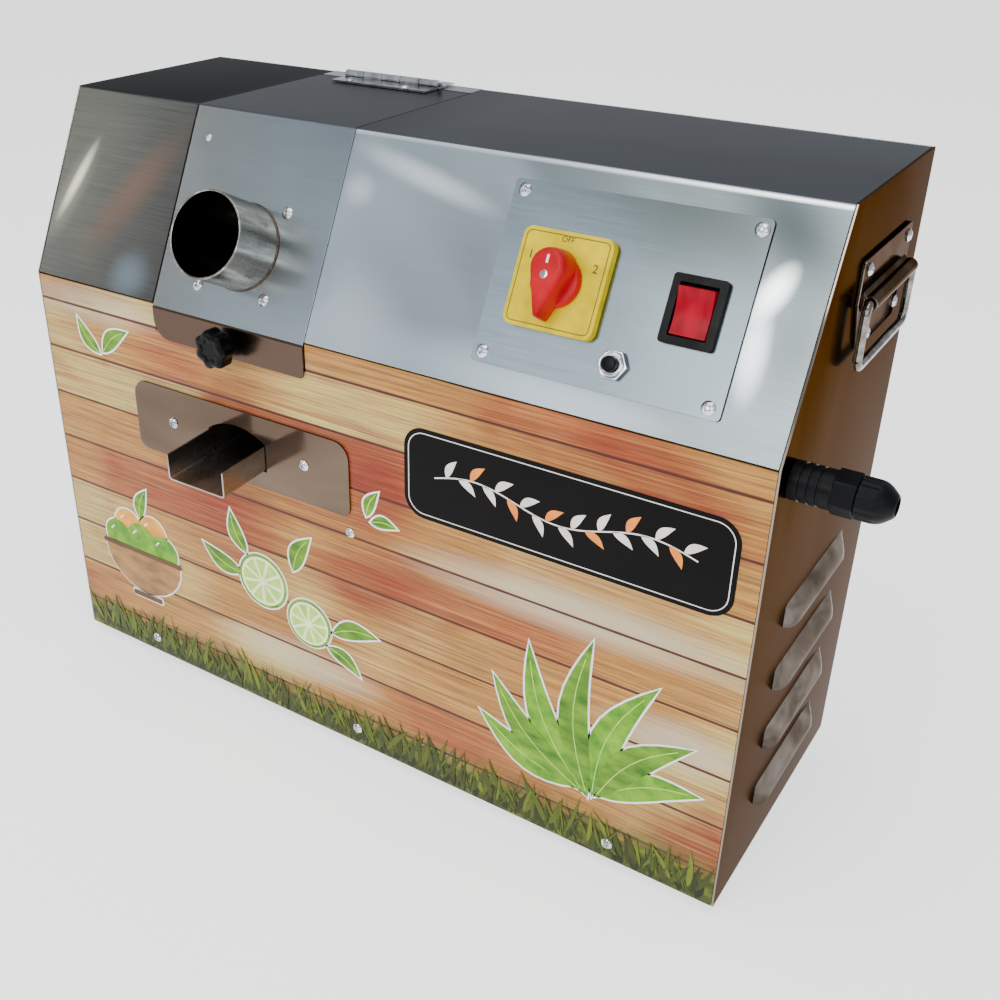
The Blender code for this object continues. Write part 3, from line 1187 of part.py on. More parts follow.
def bent_wire(path, radius, count):
    """A round wire along a flat path in (Y, Z), with closed ends."""
    bm = bmesh.new()
    rings = []
    sides = offset_path(path, radius)
    for point, side in zip(path, sides):
        across = (side[0] - point[0], side[1] - point[1])
        ring = []
        for i in range(count):
            angle = 2 * math.pi * (i + 0.5) / count
            ring.append(bm.verts.new((radius * math.sin(angle), point[0] + across[0] * math.cos(angle),
                                      point[1] + across[1] * math.cos(angle))))
        rings.append(ring)
    for ring, other in zip(rings, rings[1:]):
        for i in range(count):
            j = (i + 1) % count
            bm.faces.new((ring[i], ring[j], other[j], other[i]))
    bm.faces.new(rings[0][::-1])
    bm.faces.new(rings[-1])
    return bm


def carry_handle(side, face, out):
    """One handle. Face is the panel's outer face, and out is the way that it looks."""
    half_top = HANDLE_PLATE_WIDTH / 2
    half_foot = HANDLE_PLATE_FOOT / 2
    low, high = HANDLE_Z - HANDLE_PLATE_BELOW, HANDLE_Z + HANDLE_PLATE_ABOVE
    outline = [(HANDLE_Y - half_foot, low), (HANDLE_Y + half_foot, low),
               (HANDLE_Y + half_top, HANDLE_Z), (HANDLE_Y + half_top, high),
               (HANDLE_Y - half_top, high), (HANDLE_Y - half_top, HANDLE_Z)]
    seat = face + out * GAP
    plate = keep(side + "_handle_plate", prism([outline], seat, seat + out * HANDLE_PLATE, "X"), POLISHED)
    axis_x = face + out * HANDLE_AXIS_OFFSET
    half_barrel = BARREL_LENGTH / 2
    ends = (HANDLE_Y - half_barrel, HANDLE_Y + half_barrel)
    barrel = turned([(ends[0], 0), (ends[0], BARREL_RADIUS), (ends[1], BARREL_RADIUS), (ends[1], 0)],
                    ROUND, "Y", (axis_x, HANDLE_Z))
    join(plate, keep(side + "_barrel", barrel))
    bore = turned([(ends[0] - SHEET, 0), (ends[0] - SHEET, BARREL_BORE), (ends[1] + SHEET, BARREL_BORE),
                   (ends[1] + SHEET, 0)], SMALL_ROUND, "Y", (axis_x, HANDLE_Z))
    cut(plate, keep(side + "_barrel_bore", bore))
    frame = empty(side + "_bail_axis", cabinet_frame, (axis_x, HANDLE_Y, HANDLE_Z))
    half = BAIL_WIDTH / 2
    path = [(BAIL_PIN - half, 0), (-half, 0), (-half, -BAIL_DROP), (half, -BAIL_DROP), (half, 0),
            (half - BAIL_PIN, 0)]
    wire = bent_wire(round_corners(path, BAIL_BEND), BAIL_WIRE_RADIUS, 8)
    keep(side + "_handle_bail", wire, CHROME, frame)


carry_handle("left", 0, -1)
carry_handle("right", CABINET_WIDTH, 1)
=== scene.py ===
import math

import bmesh
import bpy
from mathutils import Matrix, Vector


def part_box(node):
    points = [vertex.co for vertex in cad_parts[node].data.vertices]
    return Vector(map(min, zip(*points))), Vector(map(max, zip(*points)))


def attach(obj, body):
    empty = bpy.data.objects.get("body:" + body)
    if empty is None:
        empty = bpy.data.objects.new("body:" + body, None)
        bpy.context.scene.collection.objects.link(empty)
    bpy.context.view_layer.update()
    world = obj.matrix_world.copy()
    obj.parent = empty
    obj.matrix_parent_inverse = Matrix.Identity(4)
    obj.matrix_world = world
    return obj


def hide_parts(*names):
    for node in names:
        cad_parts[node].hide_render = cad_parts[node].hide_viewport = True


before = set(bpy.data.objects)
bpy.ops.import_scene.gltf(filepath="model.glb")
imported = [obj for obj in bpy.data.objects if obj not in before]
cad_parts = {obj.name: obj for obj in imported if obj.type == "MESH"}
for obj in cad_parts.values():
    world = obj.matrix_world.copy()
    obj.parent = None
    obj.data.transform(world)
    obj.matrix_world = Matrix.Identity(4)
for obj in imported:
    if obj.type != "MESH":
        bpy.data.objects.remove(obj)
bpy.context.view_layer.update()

# Studio. A pale seamless floor, a pale even surround and large soft lamps. The camera looks at the
# machine from its front right, a little above it, as a customer standing at the counter would.


def put(name, data):
    """Add an object to the scene."""
    made = bpy.data.objects.new(name, data)
    bpy.context.scene.collection.objects.link(made)
    return made


camera_data = bpy.data.cameras.new("camera")
camera_data.lens = 43.51
camera_data.sensor_width = 36
camera_data.shift_x, camera_data.shift_y = 0.0709, -0.0133
camera_data.clip_end = 50
camera = put("camera", camera_data)
camera_turn, camera_lift = math.radians(34.0), math.radians(28.66)
look_back = Vector((math.sin(camera_turn) * math.cos(camera_lift),
                    -math.cos(camera_turn) * math.cos(camera_lift), math.sin(camera_lift)))
camera.location = (0.47076, -0.72276, 0.69009)
camera.rotation_mode = "QUATERNION"
camera.rotation_quaternion = (-look_back).to_track_quat("-Z", "Y")
bpy.context.scene.camera = camera


def feed(socket, value):
    """Set an input, or link another node's output to it. None leaves it as it is."""
    if isinstance(value, Value):
        socket.id_data.links.new(value.socket, socket)
    elif value is not None:
        socket.default_value = value


def calc(operation, *values):
    """A math node over outputs and numbers."""
    tree = next(value.socket.id_data for value in values if isinstance(value, Value))
    node = tree.nodes.new("ShaderNodeMath")
    node.operation = operation
    for socket, value in zip(node.inputs, values):
        feed(socket, value)
    return Value(node.outputs[0])


class Value:
    """A node's output. Sums and comparisons with it add the math nodes that they need."""

    def __init__(self, socket):
        self.socket = socket

    def __add__(self, other):
        return calc("ADD", self, other)

    def __sub__(self, other):
        return calc("SUBTRACT", self, other)

    def __rsub__(self, other):
        return calc("SUBTRACT", other, self)

    def __mul__(self, other):
        return calc("MULTIPLY", self, other)

    def __truediv__(self, other):
        return calc("DIVIDE", self, other)

    def __pow__(self, other):
        return calc("POWER", self, other)

    def __abs__(self):
        return calc("ABSOLUTE", self)

    def __lt__(self, other):
        return calc("LESS_THAN", self, other)

    def __gt__(self, other):
        return calc("GREATER_THAN", self, other)


def paint(red, green, blue):
    """A colour given as it would be mixed on a screen, from 0 to 255."""
    return tuple((value / 255) ** 2.2 for value in (red, green, blue))


class Finish:
    """A material made of nodes, with short calls for the patterns that its surface needs."""

    def __init__(self, name, color=(200, 200, 200), **values):
        self.material = bpy.data.materials.new(name)
        self.material.use_nodes = True
        self.tree = self.material.node_tree
        self.shader = self.tree.nodes["Principled BSDF"]
        self.place = Value(self.tree.nodes.new("ShaderNodeTexCoord").outputs["Object"])
        self.use(Base_Color=(*paint(*color), 1), **values)

    def use(self, **values):
        """Set the shader's inputs, and hand over the material."""
        for name, value in values.items():
            feed(self.shader.inputs[name.replace("_", " ")], value)
        return self.material

    def node(self, kind, *values, output=0, **settings):
        """Add a node, and give one of its outputs. Values go to its inputs in order."""
        node = self.tree.nodes.new(kind)
        for name, setting in settings.items():
            setattr(node, name, setting)
        for socket, value in zip(node.inputs, values):
            feed(socket, value)
        return Value(node.outputs[output])

    def axes(self, vector=None):
        """The three coordinates of a place."""
        split = self.tree.nodes.new("ShaderNodeSeparateXYZ")
        feed(split.inputs[0], vector or self.place)
        return [Value(socket) for socket in split.outputs]

    def stretch(self, scale, turn=(0, 0, 0)):
        """The place in a turned frame, with each of its axes then stretched by a number."""
        place = self.place
        if any(turn):
            place = self.node("ShaderNodeMapping", place, None, turn)
        return self.node("ShaderNodeMapping", place, None, None, scale)

    def noise(self, scale, detail=3.0, roughness=0.5, distortion=0.0, turn=(0, 0, 0), vector=None):
        """Cloudy noise. Its scale is a number, or one for each axis, in features per metre."""
        spread = scale if isinstance(scale, tuple) else (scale,) * 3
        node = self.tree.nodes.new("ShaderNodeTexNoise")
        feed(node.inputs["Vector"], vector or self.stretch(spread, turn))
        feed(node.inputs["Scale"], 1)
        feed(node.inputs["Detail"], detail)
        feed(node.inputs["Roughness"], roughness)
        feed(node.inputs["Distortion"], distortion)
        return Value(node.outputs[0])

    def ramp(self, factor, *stops):
        """Colours at places from 0 to 1 along a factor."""
        node = self.tree.nodes.new("ShaderNodeValToRGB")
        feed(node.inputs[0], factor)
        elements = node.color_ramp.elements
        for element, (position, color) in zip(elements, (stops[0], stops[-1])):
            element.position = position
            element.color = (*paint(*color), 1)
        for position, color in stops[1:-1]:
            elements.new(position).color = (*paint(*color), 1)
        return Value(node.outputs[0])

    def span(self, value, low, high, to_low=0.0, to_high=1.0):
        """A value brought from one range to another, and held at its ends."""
        return self.node("ShaderNodeMapRange", value, low, high, to_low, to_high)

    def mix(self, factor, first, second, mode="MIX"):
        """One colour laid over another by a factor."""
        node = self.tree.nodes.new("ShaderNodeMix")
        node.data_type = "RGBA"
        node.blend_type = mode
        for index, value in ((0, factor), (6, first), (7, second)):
            feed(node.inputs[index], (*value[:3], 1) if isinstance(value, tuple) else value)
        return Value(node.outputs[2])

    def bump(self, height, depth, strength=1.0):
        """Raise or sink the surface by a height from 0 to 1, times a depth in metres."""
        node = self.tree.nodes.new("ShaderNodeBump")
        feed(node.inputs["Strength"], strength)
        feed(node.inputs["Distance"], depth)
        feed(node.inputs["Height"], height)
        self.use(Normal=Value(node.outputs[0]))

    def clouded(self, cloud, low, high, smooth, rough):
        """Let noise carry the colour from low to high, and the roughness from smooth to rough."""
        return self.use(Base_Color=self.ramp(cloud, (0.3, low), (0.7, high)),
                        Roughness=self.span(cloud, 0.3, 0.7, smooth, rough))


world = bpy.data.worlds.new("studio_surround")
world.use_nodes = True
surround = world.node_tree.nodes["Background"]
surround.inputs["Color"].default_value = (0.86, 0.90, 0.96, 1)
surround.inputs["Strength"].default_value = 0.78
bpy.context.scene.world = world

floor_finish = Finish("pale_floor", (244, 244, 243), Roughness=0.8, Emission_Strength=1.1,
                      Emission_Color=(1.0, 1.0, 1.0, 1))
floor_cloud = floor_finish.noise(0.8)
floor_finish.use(Base_Color=floor_finish.mix(floor_cloud, paint(242, 242, 241), paint(248, 248, 247)))
FLOOR_HALF = 6.0
floor_mesh = bpy.data.meshes.new("floor")
floor_mesh.from_pydata([(-FLOOR_HALF, -FLOOR_HALF, 0), (FLOOR_HALF, -FLOOR_HALF, 0),
                        (FLOOR_HALF, FLOOR_HALF, 0), (-FLOOR_HALF, FLOOR_HALF, 0)], [], [(0, 1, 2, 3)])
floor_mesh.materials.append(floor_finish.material)
floor = put("floor", floor_mesh)


def soft_lamp(name, place, aim, size, power, color):
    """A large square studio lamp turned towards a point."""
    data = bpy.data.lights.new(name, "AREA")
    data.shape = "RECTANGLE"
    data.size, data.size_y = size
    data.energy = power
    data.color = color
    lamp = put(name, data)
    lamp.location = place
    lamp.rotation_mode = "QUATERNION"
    lamp.rotation_quaternion = (Vector(aim) - Vector(place)).to_track_quat("-Z", "Y")


soft_lamp("key_lamp", (-0.35, -2.4, 1.9), (0, 0, 0.25), (0.9, 1.3), 32, (1.0, 0.98, 0.95))
soft_lamp("strip_lamp", (-2.2, -1.35, 1.3), (0, 0, 0.4), (0.12, 1.3), 7, (1.0, 1.0, 0.94))
soft_lamp("fill_lamp", (1.9, -2.2, 1.5), (0, 0, 0.25), (2.2, 1.6), 26, (0.92, 0.96, 1.0))
soft_lamp("top_lamp", (0.1, -0.4, 2.6), (0, 0, 0.3), (2.2, 1.6), 34, (1.0, 1.0, 1.0))

# Top covers. Two folded sheets of brushed stainless steel lie either side of the lid, and each makes
# the slope and the top in one piece. They sit between the side panels, with a crisp rounded fold.

CABINET_WIDTH, CABINET_DEPTH, CABINET_HEIGHT = 0.640, 0.240, 0.493
FRONT_HEIGHT, SLOPE_RUN = 0.3535, 0.070
SHEET, GAP, SEAM = 0.0015, 0.0003, 0.0008
FOLD_RADIUS = 0.0026
LID_LEFT, LID_RIGHT = 0.134, 0.286
SKIN_LEFT, SKIN_RIGHT = SHEET + GAP, CABINET_WIDTH - SHEET - GAP
COVER_REAR = CABINET_DEPTH - SHEET - GAP

# Each face has a frame of its own: two directions along the face, and the third out of it.
front_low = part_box("front_panel")[0]
corner = Vector((front_low[0] - SKIN_LEFT, front_low[1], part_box("base_pan")[0][2]))
slope_angle = math.atan2(CABINET_HEIGHT - FRONT_HEIGHT, SLOPE_RUN)
CABINET = Matrix.Translation(corner)
FRONT = CABINET @ Matrix(((1, 0, 0, 0), (0, 0, -1, 0), (0, 1, 0, 0), (0, 0, 0, 1)))
REAR = CABINET @ Matrix(((1, 0, 0, 0), (0, 0, 1, CABINET_DEPTH), (0, 1, 0, 0), (0, 0, 0, 1)))
SLOPE = CABINET @ Matrix.Translation((0, 0, FRONT_HEIGHT)) @ Matrix.Rotation(slope_angle, 4, "X")
TOP = CABINET @ Matrix.Translation((0, 0, CABINET_HEIGHT))
RIGHT = CABINET @ Matrix(((0, 0, 1, CABINET_WIDTH), (1, 0, 0, 0), (0, 1, 0, 0), (0, 0, 0, 1)))
LEFT = CABINET @ Matrix(((0, 0, -1, 0), (1, 0, 0, 0), (0, 1, 0, 0), (0, 0, 0, 1)))


def evaluated(thing):
    """A new mesh of an object, with its modifiers worked out."""
    bpy.context.view_layer.update()
    return bpy.data.meshes.new_from_object(thing.evaluated_get(bpy.context.evaluated_depsgraph_get()))


def moved(bm, place):
    """Move or turn a solid by its points."""
    bmesh.ops.transform(bm, matrix=place, verts=bm.verts)
    return bm


def piece(name, bm, material, body, place=None, replaces=(), sharp=35):
    """Keep a finished mesh: its place goes into its points, and it rides on its body."""
    if place is not None:
        moved(bm, place)
    bmesh.ops.recalc_face_normals(bm, faces=bm.faces)
    mesh = bpy.data.meshes.new(name)
    bm.to_mesh(mesh)
    bm.free()
    mesh.shade_smooth()
    mesh.set_sharp_from_angle(angle=math.radians(sharp))
    if material:
        mesh.materials.append(material)
    made = put(name, mesh)
    flatten = made.modifiers.new("flat_faces", "WEIGHTED_NORMAL")
    flatten.keep_sharp = True
    made.data = evaluated(made)
    made.modifiers.remove(flatten)
    bpy.data.meshes.remove(mesh)
    if body:
        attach(made, body)
    if replaces:
        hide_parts(*replaces)
    return made


def ring(x, y, radius, count=48, turn=0.0):
    """Points round a circle."""
    return [(x + radius * math.cos(turn + 2 * math.pi * i / count),
             y + radius * math.sin(turn + 2 * math.pi * i / count)) for i in range(count)]


def arc(x, y, radius, first, sweep, steps):
    """Points along part of a circle, from an angle on over a sweep, both in degrees."""
    angles = [math.radians(first + sweep * step / steps) for step in range(steps + 1)]
    return [(x + radius * math.cos(angle), y + radius * math.sin(angle)) for angle in angles]


def rounded(left, right, low, high, radii=0.0, steps=6):
    """A rectangle's outline. Radii are one, or four: lower right, upper right, upper left, lower left."""
    radii = radii if isinstance(radii, tuple) else (radii,) * 4
    points = []
    corners = ((right, low), (right, high), (left, high), (left, low))
    for (x, y), first, radius in zip(corners, (-90, 0, 90, 180), radii):
        if not radius:
            points.append((x, y))
            continue
        middle_x = x - radius if x == right else x + radius
        middle_y = y - radius if y == high else y + radius
        points += arc(middle_x, middle_y, radius, first, 90, steps)
    return points


def centred(middle, size, radius=0.0):
    """A rectangle's outline about its middle, from its width and height."""
    (x, y), (wide, tall) = middle, size
    return rounded(x - wide / 2, x + wide / 2, y - tall / 2, y + tall / 2, radius)


def soften(bm, width, segments=2, angle=30):
    """Round every edge that turns more sharply than an angle."""
    sharp = [edge for edge in bm.edges if len(edge.link_faces) == 2
             and edge.calc_face_angle() > math.radians(angle)]
    bmesh.ops.bevel(bm, geom=sharp, offset=width, offset_type="OFFSET", segments=segments, profile=0.5,
                    affect="EDGES", clamp_overlap=True)
    return bm


def plate(outlines, low, high, edge=0.0, segments=2):
    """A flat solid from one height to another: its outline first, and then its holes."""
    bm = bmesh.new()
    edges = []
    for outline in outlines:
        loop = [bm.verts.new((x, y, low)) for x, y in outline]
        edges += [bm.edges.new(pair) for pair in zip(loop, loop[1:] + loop[:1])]
    if len(outlines) == 1:
        bm.faces.new(bm.verts[:])
    else:
        bmesh.ops.triangle_fill(bm, use_beauty=True, use_dissolve=False, edges=edges)
    grown = bmesh.ops.extrude_face_region(bm, geom=bm.faces[:])
    verts = [item for item in grown["geom"] if isinstance(item, bmesh.types.BMVert)]
    bmesh.ops.translate(bm, vec=(0, 0, high - low), verts=verts)
    bmesh.ops.recalc_face_normals(bm, faces=bm.faces)
    if edge:
        soften(bm, edge, segments)
    return bm


def rounded_path(points, radius, steps=6):
    """An open path with each of its corners turned into an arc."""
    path = [Vector(points[0])]
    for before, at, after in zip(points, points[1:], points[2:]):
        at = Vector(at)
        into, out = (Vector(before) - at).normalized(), (Vector(after) - at).normalized()
        half = into.angle(out) / 2
        middle = at + (into + out).normalized() * (radius / math.sin(half))
        start, end = at + into * (radius / math.tan(half)), at + out * (radius / math.tan(half))
        for step in range(steps + 1):
            spoke = (start - middle).slerp(end - middle, step / steps)
            path.append(middle + spoke.normalized() * radius)
    return path + [Vector(points[-1])]


def path_lengths(path):
    """How far along a path each of its points lies."""
    lengths = [0.0]
    for first, second in zip(path, path[1:]):
        lengths.append(lengths[-1] + (second - first).length)
    return lengths


def along_path(path, point):
    """How far along a path its nearest place to a point lies."""
    point = Vector(point)
    best = None
    for start, first, second in zip(path_lengths(path), path, path[1:]):
        way = second - first
        share = min(max((point - first).dot(way) / way.length_squared, 0), 1)
        miss = (first + way * share - point).length
        if best is None or miss < best[0]:
            best = (miss, start + way.length * share)
    return best[1]


def fold(bm, path):
    """Fold a flat sheet along a path of (Y, Z) points. Heights above the sheet go to the path's left."""
    lengths = path_lengths(path)
    for length in lengths[1:-1]:
        everything = bm.verts[:] + bm.edges[:] + bm.faces[:]
        bmesh.ops.bisect_plane(bm, geom=everything, dist=1e-7, plane_co=(0, length, 0), plane_no=(0, 1, 0))
    ways = [(second - first).normalized() for first, second in zip(path, path[1:])]
    sides = []
    for i in range(len(path)):
        before, after = ways[max(i - 1, 0)], ways[min(i, len(ways) - 1)]
        middle = (before + after).normalized()
        sides.append(Vector((-middle.y, middle.x)) / middle.dot(after))
    for vert in bm.verts:
        x, along, height = vert.co
        part = 0
        while part < len(ways) - 1 and along > lengths[part + 1]:
            part += 1
        share = (along - lengths[part]) / (lengths[part + 1] - lengths[part])
        point = path[part] + (path[part + 1] - path[part]) * share
        side = sides[part].lerp(sides[part + 1], min(max(share, 0), 1))
        vert.co = (x, *(point + side * height))
    return bm


def brushed_steel(name, shades, roughness=0.26, across=None, fold_painted_shade=(200, 204, 202), edge=1.0):
    """Brushed stainless sheet: fine lines along the roll, in a tone that drifts in slanting bands.

    Where across gives two places on the slope, the tones follow each other from one to the other as painted
    reflections, and painted shade darkens each from the slope's foot to its fold. A low edge dims what is
    seen at a grazing angle."""
    finish = Finish(name, Metallic=1.0, Specular_Tint=(edge, edge, edge, 1))
    drift = finish.noise((2.4, 9, 6), detail=2, roughness=0.45, distortion=0.7, turn=(-slope_angle, 0, 0.7))
    lines = finish.noise((16, 1100, 1100), detail=4, roughness=0.65)
    if across:
        x, _, height = finish.axes()
        # Painted reflections: the tones are laid in bands from one place across the slope to the other.
        share = finish.span(x, corner.x + across[0], corner.x + across[1], 0.28, 0.72)
        drift = share + (drift - 0.5) * 0.3
    stops = [(0.28 + 0.44 * i / (len(shades) - 1), shade) for i, shade in enumerate(shades)]
    color = finish.ramp(drift, *stops)
    if across:
        # Painted shade: the tone darkens from the slope's foot towards its fold.
        painted_shade_share = finish.span(height, corner.z + FRONT_HEIGHT, corner.z + CABINET_HEIGHT, 0, 0.85)
        color = finish.mix(painted_shade_share, color, paint(*fold_painted_shade), "MULTIPLY")
    brushing = finish.ramp(lines, (0.3, (70, 70, 72)), (0.7, (235, 238, 240)))
    finish.bump(lines, 0.00002, 0.3)
    return finish, finish.mix(0.035, color, brushing), lines * 0.12 + (roughness - 0.06)


def painted_reflections(finish, color, streaks):
    """Lay painted reflections, soft light and dark streaks, over the metal of the slope, faded towards their
    ends and sides.

    Each runs from a place to a place, given from the left and from the slope's foot, with its width,
    its strength and its shade."""
    x, _, height = finish.axes()
    from_left = x - corner.x
    from_foot = (height - (corner.z + FRONT_HEIGHT)) / math.sin(slope_angle)
    for from_x, from_up, to_x, to_up, width, strength, shade in streaks:
        run = Vector((to_x - from_x, to_up - from_up)) / 2
        way = run.normalized()
        reach = run.length + width
        out_x = from_left - (from_x + run.x)
        out_up = from_foot - (from_up + run.y)
        along = out_x * (way.x / reach) + out_up * (way.y / reach)
        beside = out_x * (way.y / width) - out_up * (way.x / width)
        reflection_share = finish.span(along * along + beside * beside, 0, 1, 1, 0) ** 2
        color = finish.mix(reflection_share * strength, color, paint(*shade))
    return color


# Painted reflections: the covers' tones from left to right across the slope, dark on the left cover and
# brightest just right of the lid.
COVER_PAINTED_REFLECTION_TONES = ((84, 84, 80), (80, 80, 78), (77, 76, 75), (79, 79, 79), (120, 128, 134), (180, 196, 208),
                (192, 208, 220), (180, 196, 206), (164, 178, 188), (144, 156, 164), (128, 140, 146),
                (116, 126, 130), (108, 118, 122))
# Painted reflections: soft light and dark streaks on the covers' slope, each from a place to a place, with
# its width, strength and shade.
COVER_PAINTED_REFLECTIONS = ((0.0020, 0.0280, 0.0343, 0.1103, 0.0180, 0.40, (134, 134, 122)),
                 (0.0090, 0.0460, 0.0360, 0.1150, 0.0070, 0.95, (196, 196, 178)),
                 (0.0480, 0.0280, 0.1250, 0.1300, 0.0240, 0.50, (112, 88, 76)),
                 (0.1000, 0.0120, 0.1050, 0.0160, 0.0260, 0.60, (122, 138, 150)),
                 (0.2880, 0.1450, 0.4160, 0.1150, 0.0120, 0.90, (232, 240, 246)),
                 (0.2990, 0.1140, 0.3030, 0.1140, 0.0160, 0.70, (232, 234, 242)),
                 (0.3050, 0.0300, 0.3400, 0.0060, 0.0520, 0.50, (226, 236, 244)),
                 (0.3300, 0.0120, 0.5600, 0.0020, 0.0320, 0.60, (216, 234, 246)),
                 (0.5850, 0.1560, 0.6300, 0.1180, 0.0380, 0.90, (50, 56, 58)),
                 (0.6260, 0.1000, 0.6260, 0.0500, 0.0260, 0.60, (76, 84, 86)),
                 (0.6120, 0.1100, 0.6010, 0.0860, 0.0120, 0.95, (232, 242, 242)),
                 (0.6020, 0.0900, 0.6060, 0.0360, 0.0130, 0.75, (206, 218, 220)))
TOP_BEGINS = corner.z + CABINET_HEIGHT - 0.0009
cover_finish, cover_color, _ = brushed_steel("brushed_cover_sheet", COVER_PAINTED_REFLECTION_TONES, across=(0.04, 0.60))
cover_color = painted_reflections(cover_finish, cover_color, COVER_PAINTED_REFLECTIONS)
x, _, height = cover_finish.axes()
from_left = x - corner.x
# Painted highlight: a bright line along the fold of the right cover.
fold_painted_highlight = cover_finish.span(height, TOP_BEGINS - 0.0030, TOP_BEGINS - 0.0012, 0, 0.8)
cover_color = cover_finish.mix(fold_painted_highlight * (from_left > LID_RIGHT), cover_color, paint(222, 228, 232))
# Painted shade: a dark line on the cover's edge beside the lid's left seam.
cover_color = cover_finish.mix(abs(from_left - LID_LEFT) < SEAM, cover_color, paint(34, 32, 32))
# Painted reflection: the top of the covers is painted darker than the slope, and a little darker still at the
# left.
on_top = height > TOP_BEGINS
top_painted_reflection = cover_finish.ramp(cover_finish.noise((3, 6, 6), detail=2),
                              (0.3, (102, 103, 107)), (0.7, (114, 118, 124)))
top_painted_reflection = cover_finish.mix(cover_finish.span(from_left, 0.05, 0.26, 1, 0), top_painted_reflection, paint(98, 98, 98))
cover_edge = cover_finish.ramp(cover_finish.span(from_left, 0.12, 0.34),
                               (0, (130, 130, 130)), (1, (179, 179, 179)))
cover_steel = cover_finish.use(Base_Color=cover_finish.mix(on_top, cover_color, top_painted_reflection),
                               Roughness=cover_finish.span(on_top, 0, 1, 0.28, 0.12),
                               Specular_Tint=cover_edge)

cover_path = rounded_path([(0, FRONT_HEIGHT), (SLOPE_RUN, CABINET_HEIGHT), (COVER_REAR, CABINET_HEIGHT)],
                          FOLD_RADIUS)
cover_length = path_lengths(cover_path)[-1]


def on_slope(path, x, up):
    """A place on the slope, as it lies on a sheet that isn't folded yet."""
    return x, along_path(path, (up * math.cos(slope_angle), FRONT_HEIGHT + up * math.sin(slope_angle)))


SWITCH_PLACE, ROCKER_PLACE, RESET_PLACE = (0.474, 0.0785), (0.5645, 0.078), (0.523, 0.0363)
ROCKER_WINDOW = (0.0296, 0.0386)
CUTOUT_RADIUS, NECK_CUTOUT_RADIUS = 0.0113, 0.0078
right_cutouts = [ring(*on_slope(cover_path, *SWITCH_PLACE), CUTOUT_RADIUS),
                 ring(*on_slope(cover_path, *RESET_PLACE), NECK_CUTOUT_RADIUS),
                 centred(on_slope(cover_path, *ROCKER_PLACE), ROCKER_WINDOW)]
for side, left, right, holes in (("left", SKIN_LEFT, LID_LEFT, []),
                                 ("right", LID_RIGHT, SKIN_RIGHT, right_cutouts)):
    sheet = plate([rounded(left, right, 0, cover_length)] + holes, -SHEET, 0, 0.0003)
    piece(side + "_cover_sheet", fold(sheet, cover_path), cover_steel, "cabinet",
          CABINET, [side + "_top_cover"])

# Lid over the mill. One brushed sheet is folded twice: a lip over the front panel, the slope and the
# top. It lifts about the hinge at its rear, so the feed pipe and the latch knob go up with it.

lip_face = -(SHEET + GAP)
lip_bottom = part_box("crusher_lid")[0][2] - corner.z
lip_top = FRONT_HEIGHT + lip_face * math.tan(slope_angle)
LID_REAR = 0.2192
PIPE_PLACE = (0.210, 0.057)
LATCH_PLACE = (0.213, 0.338)
PIPE_RADIUS, PIPE_WALL = 0.03275, 0.00175
LIP_CORNERS = (0.004, 0, 0, 0.015)

# Painted reflections: the lid's tones follow each other across it, and painted shade darkens them towards the
# fold.
lid_finish, lid_color, lid_gloss = brushed_steel(
    "brushed_lid_sheet", ((132, 136, 137), (148, 157, 161), (164, 178, 185), (172, 186, 195)), 0.24,
    across=(0.13, 0.29), fold_painted_shade=(176, 178, 180), edge=0.45)
_, y, height = lid_finish.axes()
# Painted reflections: the lid's top is painted dark, and its front lip dark brown.
lid_color = lid_finish.mix(height > TOP_BEGINS, lid_color, paint(108, 109, 113))
lid_color = lid_finish.mix(y < corner.y - 0.0010, lid_color, paint(82, 68, 60))
lid_steel = lid_finish.use(Base_Color=lid_color, Roughness=lid_gloss)

lid_path = rounded_path([(lip_face, lip_bottom), (lip_face, lip_top), (SLOPE_RUN, CABINET_HEIGHT),
                         (LID_REAR, CABINET_HEIGHT)], FOLD_RADIUS)
lid_sheet = plate([
    rounded(LID_LEFT + SEAM, LID_RIGHT - SEAM, 0, path_lengths(lid_path)[-1], LIP_CORNERS),
    ring(*on_slope(lid_path, *PIPE_PLACE), PIPE_RADIUS - PIPE_WALL / 2, 64),
    ring(LATCH_PLACE[0], LATCH_PLACE[1] - lip_bottom, 0.0042, 24),
], -SHEET, 0, 0.0003)
piece("lid_sheet", fold(lid_sheet, lid_path), lid_steel, "lid", CABINET, ["crusher_lid"])

# Feed pipe. A short length of stainless tube stands square on the lid's slope, welded to a flange
# behind it. The end that takes the cane is turned smooth, and its weld is left dark.

PIPE_REACH, PIPE_DEPTH = 0.044, 0.030
FLANGE_SIZE, FLANGE_THICKNESS = 0.084, 0.002


def turned(profile, count=48, x=0.0, y=0.0, closed=False):
    """Turn a profile of (radius, height) points about an axis that stands at a place."""
    bm = bmesh.new()
    rings = []
    for radius, level in profile:
        around = ring(x, y, radius, count) if radius > 0 else [(x, y)]
        rings.append([bm.verts.new((*point, level)) for point in around])
    pairs = list(zip(rings, rings[1:])) + ([(rings[-1], rings[0])] if closed else [])
    for first, second in pairs:
        for i in range(count):
            j = (i + 1) % count
            corners = [first[i % len(first)], first[j % len(first)],
                       second[j % len(second)], second[i % len(second)]]
            corners = list(dict.fromkeys(corners))
            if len(corners) > 2:
                bm.faces.new(corners)
    bmesh.ops.recalc_face_normals(bm, faces=bm.faces)
    return bm


def together(*parts):
    """Put several solids into one mesh."""
    whole = bmesh.new()
    for part in parts:
        mesh = bpy.data.meshes.new("part")
        part.to_mesh(mesh)
        part.free()
        whole.from_mesh(mesh)
        bpy.data.meshes.remove(mesh)
    return whole


